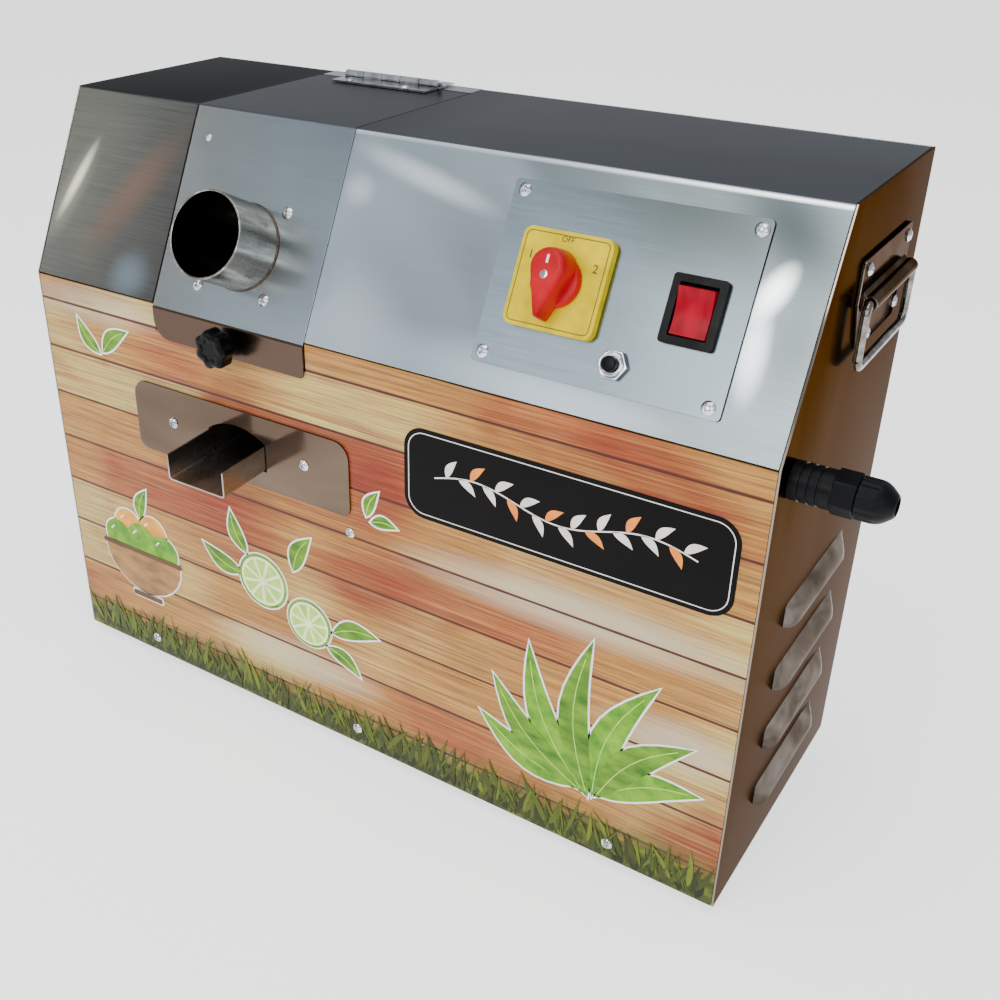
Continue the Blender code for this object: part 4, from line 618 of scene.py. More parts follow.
pipe_bore = PIPE_RADIUS - PIPE_WALL
rim = PIPE_WALL * 0.42
pipe_profile = rounded_path([
    (pipe_bore, 0), (pipe_bore, PIPE_REACH), (PIPE_RADIUS, PIPE_REACH), (PIPE_RADIUS, -PIPE_DEPTH),
    (pipe_bore, -PIPE_DEPTH), (pipe_bore, -0.001)], rim, 4)
pipe_finish = Finish("turned_pipe", Metallic=1.0)
axis_turn = (-slope_angle, 0, 0)
pipe_lines = pipe_finish.noise((14, 14, 1500), detail=4, roughness=0.7, turn=axis_turn)
pipe_wear = pipe_finish.noise((110, 110, 14), detail=3, roughness=0.6, turn=axis_turn)
pipe_color = pipe_finish.ramp(pipe_wear, (0.3, (84, 78, 70)), (0.5, (130, 124, 114)), (0.68, (196, 190, 178)))
pipe_turning = pipe_finish.ramp(pipe_lines, (0.3, (60, 52, 48)), (0.7, (225, 215, 205)))
# Painted shade: the inside of the bore is painted near black.
pipe_axis = Matrix.Rotation(-slope_angle, 3, "X") @ (SLOPE @ Vector((*PIPE_PLACE, 0)))
x, y, _ = pipe_finish.axes(pipe_finish.stretch((1, 1, 1), axis_turn))
out_x, out_y = x - pipe_axis.x, y - pipe_axis.y
bore_painted_shade = calc("SQRT", out_x * out_x + out_y * out_y) < pipe_bore + 0.0002
pipe_color = pipe_finish.mix(bore_painted_shade, pipe_finish.mix(0.2, pipe_color, pipe_turning), paint(30, 27, 24))
pipe_finish.bump(pipe_lines, 0.00004, 0.6)
pipe_steel = pipe_finish.use(Base_Color=pipe_color,
                             Roughness=pipe_finish.span(pipe_wear, 0.3, 0.7, 0.36, 0.16))
flange = plate([centred(PIPE_PLACE, (FLANGE_SIZE, FLANGE_SIZE), 0.004),
                ring(*PIPE_PLACE, PIPE_RADIUS - PIPE_WALL / 2, 64)],
               -SHEET - GAP - FLANGE_THICKNESS, -SHEET - GAP, 0.0003)
weld = turned(rounded_path([(PIPE_RADIUS - 0.0005, 0.0001), (PIPE_RADIUS - 0.0005, 0.0016),
                            (PIPE_RADIUS + 0.0019, 0.0001), (PIPE_RADIUS - 0.0004, 0.0001)], 0.0004, 3),
              64, *PIPE_PLACE, closed=True)
piece("feed_tube", together(turned(pipe_profile, 96, *PIPE_PLACE, closed=True), flange), pipe_steel,
      "lid", SLOPE, ["feed_pipe"])
weld_finish = Finish("dark_weld", Metallic=0.85)
weld_grain = weld_finish.noise(700, detail=3)
weld_finish.bump(weld_grain, 0.0003, 0.8)
weld_bead = weld_finish.clouded(weld_grain, (38, 32, 30), (104, 88, 74), 0.34, 0.58)
piece("pipe_weld", weld, weld_bead, "lid", SLOPE)

# Latch knob. A moulded black knob with seven lobes turns a steel tongue behind the lid's lip, which
# hooks behind the front panel and holds the lid down while the mill runs.

LATCH_SEAT = SHEET + 2 * GAP
HUB_RADIUS, HUB_LENGTH = 0.008, 0.007
KNOB_RADIUS, KNOB_THICKNESS, KNOB_HOLLOW, KNOB_LOBES = 0.0155, 0.015, 0.00217, 7


def loft(loops, closed=False):
    """Skin a row of loops that have as many points each. The two ends are filled, or joined to each other."""
    bm = bmesh.new()
    rings = [[bm.verts.new(point) for point in loop] for loop in loops]
    pairs = list(zip(rings, rings[1:])) + ([(rings[-1], rings[0])] if closed else [])
    for first, second in pairs:
        for i in range(len(first)):
            j = (i + 1) % len(first)
            bm.faces.new((first[i], first[j], second[j], second[i]))
    if not closed:
        bm.faces.new(rings[0][::-1])
        bm.faces.new(rings[-1])
    bmesh.ops.recalc_face_normals(bm, faces=bm.faces)
    return bm


def lobed(reach, level, steps=84):
    """The knob's outline at one level, drawn in by a reach."""
    points = []
    for i in range(steps):
        angle = 2 * math.pi * i / steps
        hollow = KNOB_HOLLOW * (1 - math.cos(KNOB_LOBES * angle)) / 2
        out = max(KNOB_RADIUS - hollow - reach, 0.0004)
        points.append((LATCH_PLACE[0] + out * math.cos(angle), LATCH_PLACE[1] + out * math.sin(angle), level))
    return points


knob_low = LATCH_SEAT + HUB_LENGTH
knob_top = knob_low + KNOB_THICKNESS
knob_sides = [(0.0035, knob_low), (0.0012, knob_low + 0.0006), (0.0003, knob_low + 0.0018),
              (0, knob_low + 0.004), (0, knob_top - 0.004), (0.0003, knob_top - 0.0022),
              (0.0012, knob_top - 0.0009), (0.0028, knob_top - 0.0002), (0.0048, knob_top),
              (0.0066, knob_top - 0.0004), (0.0072, knob_top - 0.0012), (0.0146, knob_top - 0.0012)]
knob = loft([lobed(reach, level) for reach, level in knob_sides])
hub = turned(rounded_path([(0.0042, LATCH_SEAT), (HUB_RADIUS, LATCH_SEAT), (HUB_RADIUS, knob_low + 0.0004),
                           (0.0042, knob_low + 0.0004)], 0.0005, 3), 40, *LATCH_PLACE, closed=True)


def moulded(name, color, gloss=0.42, grain=900, **values):
    """Moulded plastic: an even colour with a fine eroded skin."""
    finish = Finish(name, color, **values)
    skin = finish.noise(grain, detail=2)
    worn = finish.noise(60, detail=3)
    low = tuple(value * 0.88 for value in color)
    high = tuple(min(value * 1.08 + 2, 255) for value in color)
    finish.bump(skin, 0.00006, 0.35)
    return finish.clouded(worn, low, high, gloss - 0.07, gloss + 0.1)


black_grip = moulded("black_grip", (6, 7, 9), 0.3, Specular_IOR_Level=0.1)
piece("lobed_knob", together(knob, hub), black_grip, "latch", FRONT, ["latch_knob"])

# Front panel. A printed film of weathered planks covers the whole sheet, with dark soil along its foot
# behind a hedge of leaves. The juice outlet and the lid's lip lie over it.

PLANK = 0.043
PALE_PATCHES = ((0.520, 0.206, 0.170, 0.024), (0.600, 0.128, 0.070, 0.026), (0.060, 0.336, 0.090, 0.020),
                (0.260, 0.062, 0.100, 0.022))
RED_PATCHES = ((0.350, 0.252, 0.050, 0.050), (0.330, 0.165, 0.075, 0.045), (0.165, 0.215, 0.050, 0.030))
plank_finish = Finish("printed_planks", Specular_IOR_Level=0.22)
x, _, z = plank_finish.axes()
boards_up = (z - (corner.z - 0.012)) / PLANK
row_place = plank_finish.node("ShaderNodeCombineXYZ", x * 3.4, calc("FLOOR", boards_up) * 3.71, 0.4)
board_tone = plank_finish.noise(None, detail=1.5, roughness=0.5, distortion=0.4, vector=row_place)
grain = plank_finish.noise((9, 1, 520), detail=6, roughness=0.66, distortion=0.5)
fibre = plank_finish.noise((30, 1, 1700), detail=3, roughness=0.6)
veining = plank_finish.noise((3.5, 1, 170), detail=5, roughness=0.6, distortion=0.7)
grain_tone = plank_finish.ramp(grain, (0.34, (62, 30, 16)), (0.5, (190, 140, 100)), (0.66, (244, 216, 176)))
fibre_tone = plank_finish.ramp(fibre, (0.35, (70, 34, 18)), (0.65, (244, 218, 182)))
boards = plank_finish.ramp(board_tone, (0.26, (142, 58, 28)), (0.37, (172, 98, 50)), (0.44, (186, 146, 78)),
                           (0.50, (186, 150, 84)), (0.55, (214, 200, 150)), (0.63, (206, 200, 172)),
                           (0.74, (168, 116, 74)))
boards = plank_finish.mix(plank_finish.span(veining, 0.54, 0.68, 0, 0.6), boards, paint(150, 70, 36))
boards = plank_finish.mix(plank_finish.span(veining, 0.46, 0.34, 0, 0.4), boards, paint(226, 206, 160))
boards = plank_finish.mix(0.68, boards, grain_tone, "OVERLAY")
boards = plank_finish.mix(0.14, boards, fibre_tone)
boards = plank_finish.mix(0.8, boards, paint(204, 202, 160), "MULTIPLY")
broken = plank_finish.span(grain, 0.3, 0.6, 1, 0.6)


def patched(patch, places):
    """Add soft patches, broken up by the grain. Each has a place on the front, a width and a height."""
    for patch_x, patch_z, wide, tall in places:
        out_x, out_z = (x - (corner.x + patch_x)) / wide, (z - (corner.z + patch_z)) / tall
        out = calc("SQRT", out_x * out_x + out_z * out_z)
        patch = calc("MAXIMUM", patch, plank_finish.span(out, 0.35, 1.0, 0.9, 0) * broken)
    return patch


blush = plank_finish.noise((5.5, 1, 8), detail=2.5, roughness=0.5, distortion=0.6)
reddened = patched(plank_finish.span(blush, 0.55, 0.70) * broken, RED_PATCHES)
boards = plank_finish.mix(patched(0.0, PALE_PATCHES) * 0.75, boards, paint(196, 192, 168))
boards = plank_finish.mix(reddened, boards, paint(116, 20, 7))
seam_wave = plank_finish.noise((40, 1, 60), detail=3) * 0.02
seam_edge = abs(calc("FRACT", boards_up) - 0.5) + seam_wave
boards = plank_finish.mix(plank_finish.span(seam_edge, 0.478, 0.494), boards, paint(70, 30, 20))
foot_wave = plank_finish.noise((34, 1, 34), detail=4) * 0.020
soil = plank_finish.ramp(plank_finish.noise((50, 1, 110), detail=4), (0.3, (34, 36, 4)), (0.55, (66, 74, 12)),
                         (0.75, (104, 116, 26)))
printed = plank_finish.mix(plank_finish.span(z - corner.z - foot_wave, 0.010, 0.036, 1, 0), boards, soil)
plank_print = plank_finish.use(Base_Color=printed, Roughness=plank_finish.span(grain, 0.3, 0.7, 0.30, 0.42))


def dress(material, *names):
    """Give carried CAD nodes a finish."""
    for name in names:
        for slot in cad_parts[name].material_slots:
            slot.material = material


dress(plank_print, "front_panel")

# Outlet plate. A polished trim plate with rounded corners frames the arched juice outlet, held by
# a screw at each side. It hides the raw edge of the printed film.

CHUTE_X, CHUTE_Z = 0.213, 0.236
CHUTE_WIDTH, CHUTE_WALL, CHUTE_WALL_HEIGHT = 0.058, 0.0015, 0.022
OUTLET_CLEARANCE, OUTLET_CROWN = 0.0006, 0.0095
OUTLET_PLATE = (0.10225, 0.32375, 0.220, 0.282)
OUTLET_CORNERS = (0.008, 0.014, 0.014, 0.008)


def mirror_steel(name, dark, light, roughness=0.12, streak=(3, 3, 14), edge=(1, 1, 1)):
    """Polished stainless sheet, which shows its surroundings softly through faint roll lines."""
    finish = Finish(name, Metallic=1.0, Specular_Tint=(*edge, 1))
    drift = finish.noise(streak, detail=3, roughness=0.5, distortion=0.8)
    haze = finish.noise(30, detail=3)
    return finish.use(Base_Color=finish.ramp(drift, (0.32, dark), (0.68, light)),
                      Roughness=finish.span(haze, 0.3, 0.7, roughness - 0.05, roughness + 0.07))


outlet_half = CHUTE_WIDTH / 2 + OUTLET_CLEARANCE
arch_radius = (outlet_half ** 2 + OUTLET_CROWN ** 2) / (2 * OUTLET_CROWN)
arch_middle = CHUTE_Z + CHUTE_WALL_HEIGHT + OUTLET_CLEARANCE + OUTLET_CROWN - arch_radius
arch_sweep = math.degrees(math.asin(outlet_half / arch_radius))
arch = [(CHUTE_X - outlet_half, CHUTE_Z - OUTLET_CLEARANCE),
        (CHUTE_X + outlet_half, CHUTE_Z - OUTLET_CLEARANCE)]
arch += arc(CHUTE_X, arch_middle, arch_radius, 90 - arch_sweep, 2 * arch_sweep, 16)
# The plate's dark brown tone is partly the steel's own tone and partly painted reflection.
outlet_steel = mirror_steel("polished_outlet_plate", (74, 60, 50), (104, 90, 78), 0.13)
piece("outlet_trim", plate([rounded(*OUTLET_PLATE, OUTLET_CORNERS), arch], GAP, GAP + SHEET, 0.0004),
      outlet_steel, "cabinet", FRONT, ["outlet_plate"])

# Juice chute. A polished U-shaped channel slopes down through the outlet and carries the juice past
# the front of the cabinet to the cup. Its upper edges and its lip are rounded over.

CHUTE_REACH, CHUTE_DEPTH, CHUTE_FALL = 0.050, 0.058, 0.052


def channel_section(y):
    """The chute's U-shaped section, with a small radius inside each bend."""
    bottom = CHUTE_Z + CHUTE_FALL * y
    half, top = CHUTE_WIDTH / 2, bottom + CHUTE_WALL_HEIGHT
    outer = rounded_path([(-half, top), (-half, bottom), (half, bottom), (half, top)], 0.0032, 5)
    inner = rounded_path([(half - CHUTE_WALL, top), (half - CHUTE_WALL, bottom + CHUTE_WALL),
                          (CHUTE_WALL - half, bottom + CHUTE_WALL), (CHUTE_WALL - half, top)], 0.0018, 5)
    return [(CHUTE_X + point.x, y, point.y) for point in outer + inner]


chute_steel = mirror_steel("polished_chute", (112, 106, 100), (182, 176, 170), 0.26, (20, 6, 30))
chute = soften(loft([channel_section(y) for y in (-CHUTE_REACH, CHUTE_DEPTH)]), 0.0004, 2, 60)
piece("chute_channel", chute, chute_steel, "cabinet", CABINET, ["juice_chute"])

# Control plate. A second brushed sheet lies on the right cover's slope and carries the controls. Its
# edge is sheared, and the thin dark line along it is painted shade.

CONTROL_OUTLINE = (0.423, 0.597, 0.018, 0.140)
PLATE_FACE = GAP + SHEET
FACE_SEAT = PLATE_FACE + GAP
# Painted shade: a dark soft streak over the plate's upper right.
CONTROL_PAINTED_SHADE = ((0.5100, 0.1500, 0.6000, 0.1280, 0.0600, 0.72, (58, 63, 60)),)
# Painted reflections and shade: the plate's tones follow each other across it and darken towards the fold.
control_finish, control_color, control_gloss = brushed_steel(
    "brushed_control_plate", ((178, 196, 208), (156, 172, 184), (126, 140, 148), (106, 118, 126)), 0.25,
    across=(0.42, 0.60), fold_painted_shade=(150, 158, 154), edge=0.5)
control_color = painted_reflections(control_finish, control_color, CONTROL_PAINTED_SHADE)
_, y, z = control_finish.axes()
level = y * -math.sin(slope_angle) + z * math.cos(slope_angle)
out_of_slope = Vector((0, -math.sin(slope_angle), math.cos(slope_angle)))
face_level = (SLOPE @ Vector((0, 0, PLATE_FACE))).dot(out_of_slope)
# Painted shade: the plate's sides, below its face, are painted dark.
control_color = control_finish.mix(level < face_level - 0.00012, control_color, paint(40, 38, 40))
control_steel = control_finish.use(Base_Color=control_color, Roughness=control_gloss)
control_outlines = [rounded(*CONTROL_OUTLINE, 0.003), ring(*SWITCH_PLACE, CUTOUT_RADIUS),
                    ring(*RESET_PLACE, NECK_CUTOUT_RADIUS), centred(ROCKER_PLACE, ROCKER_WINDOW)]
piece("control_sheet", plate(control_outlines, GAP, PLATE_FACE, 0.00025), control_steel, "cabinet",
      SLOPE, ["control_plate"])

# Cam switch. A yellow plate carries the positions 1, OFF and 2, and a red lever turns the spindle of
# the contact block behind the sheet. The lever has a screw below its white mark.

SWITCH_SIZE, SWITCH_THICKNESS, SWITCH_CORNER = 0.064, 0.007, 0.006
switch_top = FACE_SEAT + SWITCH_THICKNESS
yellow_plastic = moulded("yellow_plate", (204, 180, 0), 0.45, Specular_IOR_Level=0.04)
legend_plate = plate([centred(SWITCH_PLACE, (SWITCH_SIZE, SWITCH_SIZE), SWITCH_CORNER),
                      ring(*SWITCH_PLACE, 0.0043, 32)], FACE_SEAT, switch_top, 0.0013, 4)
piece("switch_legend_plate", legend_plate, yellow_plastic, "cabinet", SLOPE,
      ["rotary_switch_plate"])

INK_RISE, INK_THICKNESS = 0.00002, 0.00008
BORDER_OUTSIDE, BORDER_INSIDE = 0.0592, 0.0582
LEGENDS = (("1", -0.0232, 0.0140, 0.0078), ("OFF", 0.0, 0.0268, 0.0052), ("2", 0.0232, 0.0120, 0.0078))
ink = moulded("black_ink", (18, 18, 16), 0.5, 2200)
ink_low = switch_top + INK_RISE
legend_parts = [plate([centred(SWITCH_PLACE, (BORDER_OUTSIDE, BORDER_OUTSIDE), 0.004),
                       centred(SWITCH_PLACE, (BORDER_INSIDE, BORDER_INSIDE), 0.0035)],
                      ink_low, ink_low + INK_THICKNESS)]
for word, across, up, size in LEGENDS:
    letters = bpy.data.curves.new("legend", "FONT")
    letters.body = word
    letters.size = size
    letters.align_x, letters.align_y = "CENTER", "CENTER"
    letters.extrude = INK_THICKNESS / 2
    text = put("legend", letters)
    letter_bm = bmesh.new()
    letter_bm.from_mesh(evaluated(text))
    bpy.data.objects.remove(text)
    place = (SWITCH_PLACE[0] + across, SWITCH_PLACE[1] + up, ink_low + INK_THICKNESS / 2)
    legend_parts.append(moved(letter_bm, Matrix.Translation(place)))
piece("switch_legend", together(*legend_parts), ink, "cabinet", SLOPE)

LEVER_BASE_RADIUS, LEVER_BASE_HEIGHT, LEVER_HEIGHT = 0.0175, 0.006, 0.021
LEVER_HEAD, LEVER_HEAD_RADIUS, LEVER_TAIL, LEVER_TAIL_RADIUS = 0.0065, 0.0135, 0.024, 0.0024
lever_low = switch_top + GAP
lever_top = lever_low + LEVER_HEIGHT


def teardrop(inset, level, steps=14):
    """The lever's outline at one level: a round head up the slope and a narrow tail down it."""
    x, up = SWITCH_PLACE
    head, tail = LEVER_HEAD_RADIUS - inset, max(LEVER_TAIL_RADIUS - inset * 0.55, 0.0006)
    lean = math.degrees(math.asin((head - tail) / (LEVER_HEAD + LEVER_TAIL)))
    points = arc(x, up + LEVER_HEAD, head, -lean, 180 + 2 * lean, steps)
    points += arc(x, up - LEVER_TAIL, tail, 180 + lean, 180 - 2 * lean, steps)[1:-1]
    return [(*point, level) for point in points]


lever_levels = [(0, lever_low + 0.0035), (0.0002, lever_low + 0.008), (0.0008, lever_low + 0.014),
                (0.0016, lever_top - 0.0026), (0.0023, lever_top - 0.0011), (0.0034, lever_top - 0.0003),
                (0.0050, lever_top)]
lever = loft([teardrop(*sizes) for sizes in lever_levels])
base_top = lever_low + LEVER_BASE_HEIGHT
lever_base = turned(rounded_path([(0, lever_low), (LEVER_BASE_RADIUS, lever_low),
                                  (LEVER_BASE_RADIUS - 0.0012, base_top), (0, base_top + 0.0006)], 0.0012, 4),
                    64, *SWITCH_PLACE)
spindle = turned([(0, -0.012), (0.004, -0.012), (0.004, lever_low + 0.001), (0, lever_low + 0.001)], 24,
                 *SWITCH_PLACE)
red_plastic = moulded("red_lever", (168, 0, 26), 0.3, Specular_IOR_Level=0.16)
piece("switch_lever", together(lever, lever_base, spindle), red_plastic, "cam_switch", SLOPE,
      ["rotary_switch_handle"])


def chromed(name, low=(150, 152, 156), high=(222, 224, 228), roughness=0.12):
    """Bright plating with faint hazy patches."""
    finish = Finish(name, Metallic=1.0)
    return finish.clouded(finish.noise(120), low, high, roughness - 0.05, roughness + 0.07)


lever_chrome = chromed("lever_screw_chrome")
MARK_UP, MARK_SIZE = 0.01075, (0.0016, 0.0055)
SCREW_UP, SCREW_RADIUS = 0.001, 0.0026
white_ink = moulded("white_mark", (232, 230, 224), 0.45, 1800)
mark = centred((SWITCH_PLACE[0], SWITCH_PLACE[1] + MARK_UP), MARK_SIZE, 0.0006)
piece("lever_mark", plate([mark], lever_top + INK_RISE, lever_top + INK_RISE + INK_THICKNESS), white_ink,
      "cam_switch", SLOPE)
lever_screw = turned([(0, lever_top - 0.0005), (SCREW_RADIUS, lever_top - 0.0005),
                      (SCREW_RADIUS, lever_top + 0.0001), (SCREW_RADIUS - 0.0004, lever_top + 0.0003),
                      (0.0006, lever_top + 0.0003), (0.0004, lever_top), (0, lever_top)],
                     32, SWITCH_PLACE[0], SWITCH_PLACE[1] + SCREW_UP)
piece("lever_screw", lever_screw, lever_chrome, "cam_switch", SLOPE)

# Rocker switch. A black bezel snaps into the sheet, and its lit red key rocks in the bezel's well about
# a pin across it. The key's face is hollow for the finger.

ROCKER_BEZEL, ROCKER_RISE, ROCKER_RIM = (0.035, 0.043), 0.004, 0.005
ROCKER_BODY, ROCKER_BODY_DEPTH, ROCKER_WELL = (0.029, 0.038), 0.026, 0.012
KEY_END, KEY_MIDDLE, KEY_DEPTH, KEY_TILT = 0.006, 0.0035, 0.004, math.radians(9)
KEY_END_GAP, KEY_SIDE_GAP = 0.0017, 0.0008
well = (ROCKER_BEZEL[0] - 2 * ROCKER_RIM, ROCKER_BEZEL[1] - 2 * ROCKER_RIM)
well_floor = FACE_SEAT - ROCKER_WELL
bezel = plate([centred(ROCKER_PLACE, ROCKER_BEZEL, 0.0025), centred(ROCKER_PLACE, well, 0.0006)],
              FACE_SEAT, FACE_SEAT + ROCKER_RISE, 0.0011, 3)
bezel_walls = plate([centred(ROCKER_PLACE, ROCKER_BODY), centred(ROCKER_PLACE, well)], well_floor, FACE_SEAT)
bezel_block = plate([centred(ROCKER_PLACE, ROCKER_BODY)], -ROCKER_BODY_DEPTH, well_floor)
black_bezel = moulded("black_bezel", (6, 6, 8), 0.34, Specular_IOR_Level=0.12)
piece("rocker_frame", together(bezel, bezel_walls, bezel_block), black_bezel, "cabinet",
      SLOPE, ["rocker_bezel"])

key_half, key_side = well[1] / 2 - KEY_END_GAP, well[0] / 2 - KEY_SIDE_GAP
key_outline = [(key_half, 0.0005), (key_half / 2, -KEY_DEPTH), (-key_half / 2, -KEY_DEPTH),
               (-key_half, 0.0005)]
for step in range(17):
    share = step / 8 - 1
    key_outline.append((key_half * share, KEY_MIDDLE + (KEY_END - KEY_MIDDLE) * share ** 2))
# A profile in (Y, Z) that a plate stretches along X.
ALONG_X = Matrix(((0, 0, 1, 0), (1, 0, 0, 0), (0, 1, 0, 0), (0, 0, 0, 1)))
key_place = SLOPE @ Matrix.Translation((*ROCKER_PLACE, FACE_SEAT))
key_place = key_place @ Matrix.Rotation(KEY_TILT, 4, "X") @ ALONG_X
key_finish = Finish("lit_red_key", (200, 6, 22), Specular_IOR_Level=0.1, Emission_Strength=0.03,
                    Emission_Color=(*paint(225, 6, 40), 1))
lit_key = key_finish.clouded(key_finish.noise((90, 90, 40), detail=2), (116, 0, 26), (158, 0, 38), 0.22, 0.34)
piece("lit_rocker_key", plate([key_outline], -key_side, key_side, 0.0006), lit_key, "rocker",
      key_place, ["rocker_key"])

# Overload reset. The breaker's threaded neck comes through the sheet and is held by a chromed hex nut,
# and its black button is pushed in to reset the motor.

RESET_NUT_RADIUS, RESET_NUT, RESET_NECK, RESET_NECK_RISE = 0.0103923, 0.004, 0.0075, 0.0015
RESET_BODY_RADIUS, RESET_BODY_DEPTH = 0.012, 0.030
BUTTON_RADIUS, BUTTON_RISE, BUTTON_DEPTH = 0.005, 0.005, 0.009
cover_back = -SHEET - GAP
neck_top = FACE_SEAT + RESET_NUT + RESET_NECK_RISE
bore = BUTTON_RADIUS + GAP
thread = [(RESET_NECK - 0.0006 * (i % 2), FACE_SEAT + RESET_NUT + 0.00025 * i) for i in range(6)]
neck = turned([(bore, cover_back), (RESET_NECK, cover_back), (RESET_NECK, FACE_SEAT)] + thread
              + [(RESET_NECK - 0.0005, neck_top), (bore, neck_top)], 40, *RESET_PLACE, closed=True)
nut = plate([ring(*RESET_PLACE, RESET_NUT_RADIUS, 6), ring(*RESET_PLACE, RESET_NECK - 0.0001, 36)],
            FACE_SEAT, FACE_SEAT + RESET_NUT, 0.0006, 3)
breaker = turned([(0, cover_back - RESET_BODY_DEPTH), (RESET_BODY_RADIUS, cover_back - RESET_BODY_DEPTH),
                  (RESET_BODY_RADIUS, cover_back), (bore, cover_back), (bore, cover_back - 0.012),
                  (0, cover_back - 0.012)], 40, *RESET_PLACE)
nut_chrome = chromed("nut_chrome")
piece("reset_neck_and_nut", together(neck, nut, breaker), nut_chrome, "cabinet", SLOPE,
      ["reset_button_body"])
button = turned(rounded_path([(0, FACE_SEAT - BUTTON_DEPTH), (BUTTON_RADIUS, FACE_SEAT - BUTTON_DEPTH),
                              (BUTTON_RADIUS, neck_top + BUTTON_RISE - 0.0007), (0, neck_top + BUTTON_RISE)],
                             0.0009, 4), 36, *RESET_PLACE)
piece("reset_push_button", button, black_bezel, "reset", SLOPE, ["reset_button"])

# Cable gland. Black nylon: a long sleeve with grooves and a hex collar is screwed into the right side
# panel, and a ribbed dome nut closes on the seal. Its bore is empty.

GLAND_PLACE = (0.024, 0.338)
GLAND_THREAD, GLAND_BORE, GLAND_SLEEVE_RADIUS = 0.010, 0.0055, 0.0125
COLLAR_FROM, COLLAR_TO, GLAND_END = 0.026, 0.040, 0.062
COLLAR_RADIUS, NUT_RADIUS, NUT_RIBS, NUT_RIB_DEPTH = 0.0145, 0.0135, 14, 0.0007
GROOVES = (0.0075, 0.0130, 0.0185)
sleeve_profile = [(GLAND_BORE, -SHEET - 0.010), (GLAND_THREAD, -SHEET - 0.010), (GLAND_THREAD, GAP),
                  (GLAND_SLEEVE_RADIUS - 0.0006, GAP), (GLAND_SLEEVE_RADIUS, 0.0009)]
groove_floor = GLAND_SLEEVE_RADIUS - 0.0008
for groove in GROOVES:
    sleeve_profile += [(GLAND_SLEEVE_RADIUS, groove - 0.0009), (groove_floor, groove - 0.0006),
                       (groove_floor, groove + 0.0006), (GLAND_SLEEVE_RADIUS, groove + 0.0009)]
sleeve_profile += [(GLAND_SLEEVE_RADIUS, COLLAR_FROM + 0.001), (GLAND_BORE, COLLAR_FROM + 0.001)]
sleeve = turned(sleeve_profile, 56, *GLAND_PLACE, closed=True)
collar = plate([ring(*GLAND_PLACE, COLLAR_RADIUS, 6, math.radians(12)), ring(*GLAND_PLACE, GLAND_BORE, 32)],
               COLLAR_FROM, COLLAR_TO, 0.0009, 3)


def ribbed(radius, depth, level, steps=112):
    """The nut's outline at one level, with grooves of a depth between its ribs."""
    points = []
    for i in range(steps):
        angle = 2 * math.pi * i / steps
        out = radius - depth * (0.5 - 0.5 * math.cos(NUT_RIBS * angle)) ** 2
        points.append((GLAND_PLACE[0] + out * math.cos(angle), GLAND_PLACE[1] + out * math.sin(angle), level))
    return points


dome = [(NUT_RADIUS, 0.0, COLLAR_TO + 2 * GAP), (NUT_RADIUS, NUT_RIB_DEPTH, COLLAR_TO + 0.0014),
        (NUT_RADIUS, NUT_RIB_DEPTH, 0.0500), (NUT_RADIUS - 0.0003, NUT_RIB_DEPTH / 2, 0.0518),
        (NUT_RADIUS - 0.0010, 0, 0.0540), (NUT_RADIUS - 0.0024, 0, 0.0566),
        (NUT_RADIUS - 0.0042, 0, 0.0588), (NUT_RADIUS - 0.0057, 0, 0.0606),
        (NUT_RADIUS - 0.0069, 0, 0.0617), (NUT_RADIUS - 0.0077, 0, GLAND_END),
        (GLAND_BORE, 0, GLAND_END - 0.0004), (GLAND_BORE, 0, COLLAR_TO + 2 * GAP)]
black_nylon = moulded("black_nylon", (9, 10, 12), 0.42, 700, Specular_IOR_Level=0.12)
dome_nut = loft([ribbed(*sizes) for sizes in dome], closed=True)
piece("gland_sleeve", together(sleeve, collar), black_nylon, "cabinet", RIGHT,
      ["gland_body"])
piece("gland_dome_nut", dome_nut, black_nylon, "cabinet", RIGHT, ["gland_nut"])

# Side panels with louvres. Each panel is one polished sheet, and four air louvres are cut and pressed
# outwards in it, open along their lower edge. The covers and the front panel sit between the two.

LOUVRE_LENGTH, LOUVRE_HEIGHT, LOUVRE_REACH, LOUVRE_WALL = 0.120, 0.018, 0.007, 0.0012
LOUVRE_FIRST, LOUVRE_PITCH, LOUVRE_COUNT = 0.051, 0.0525, 4


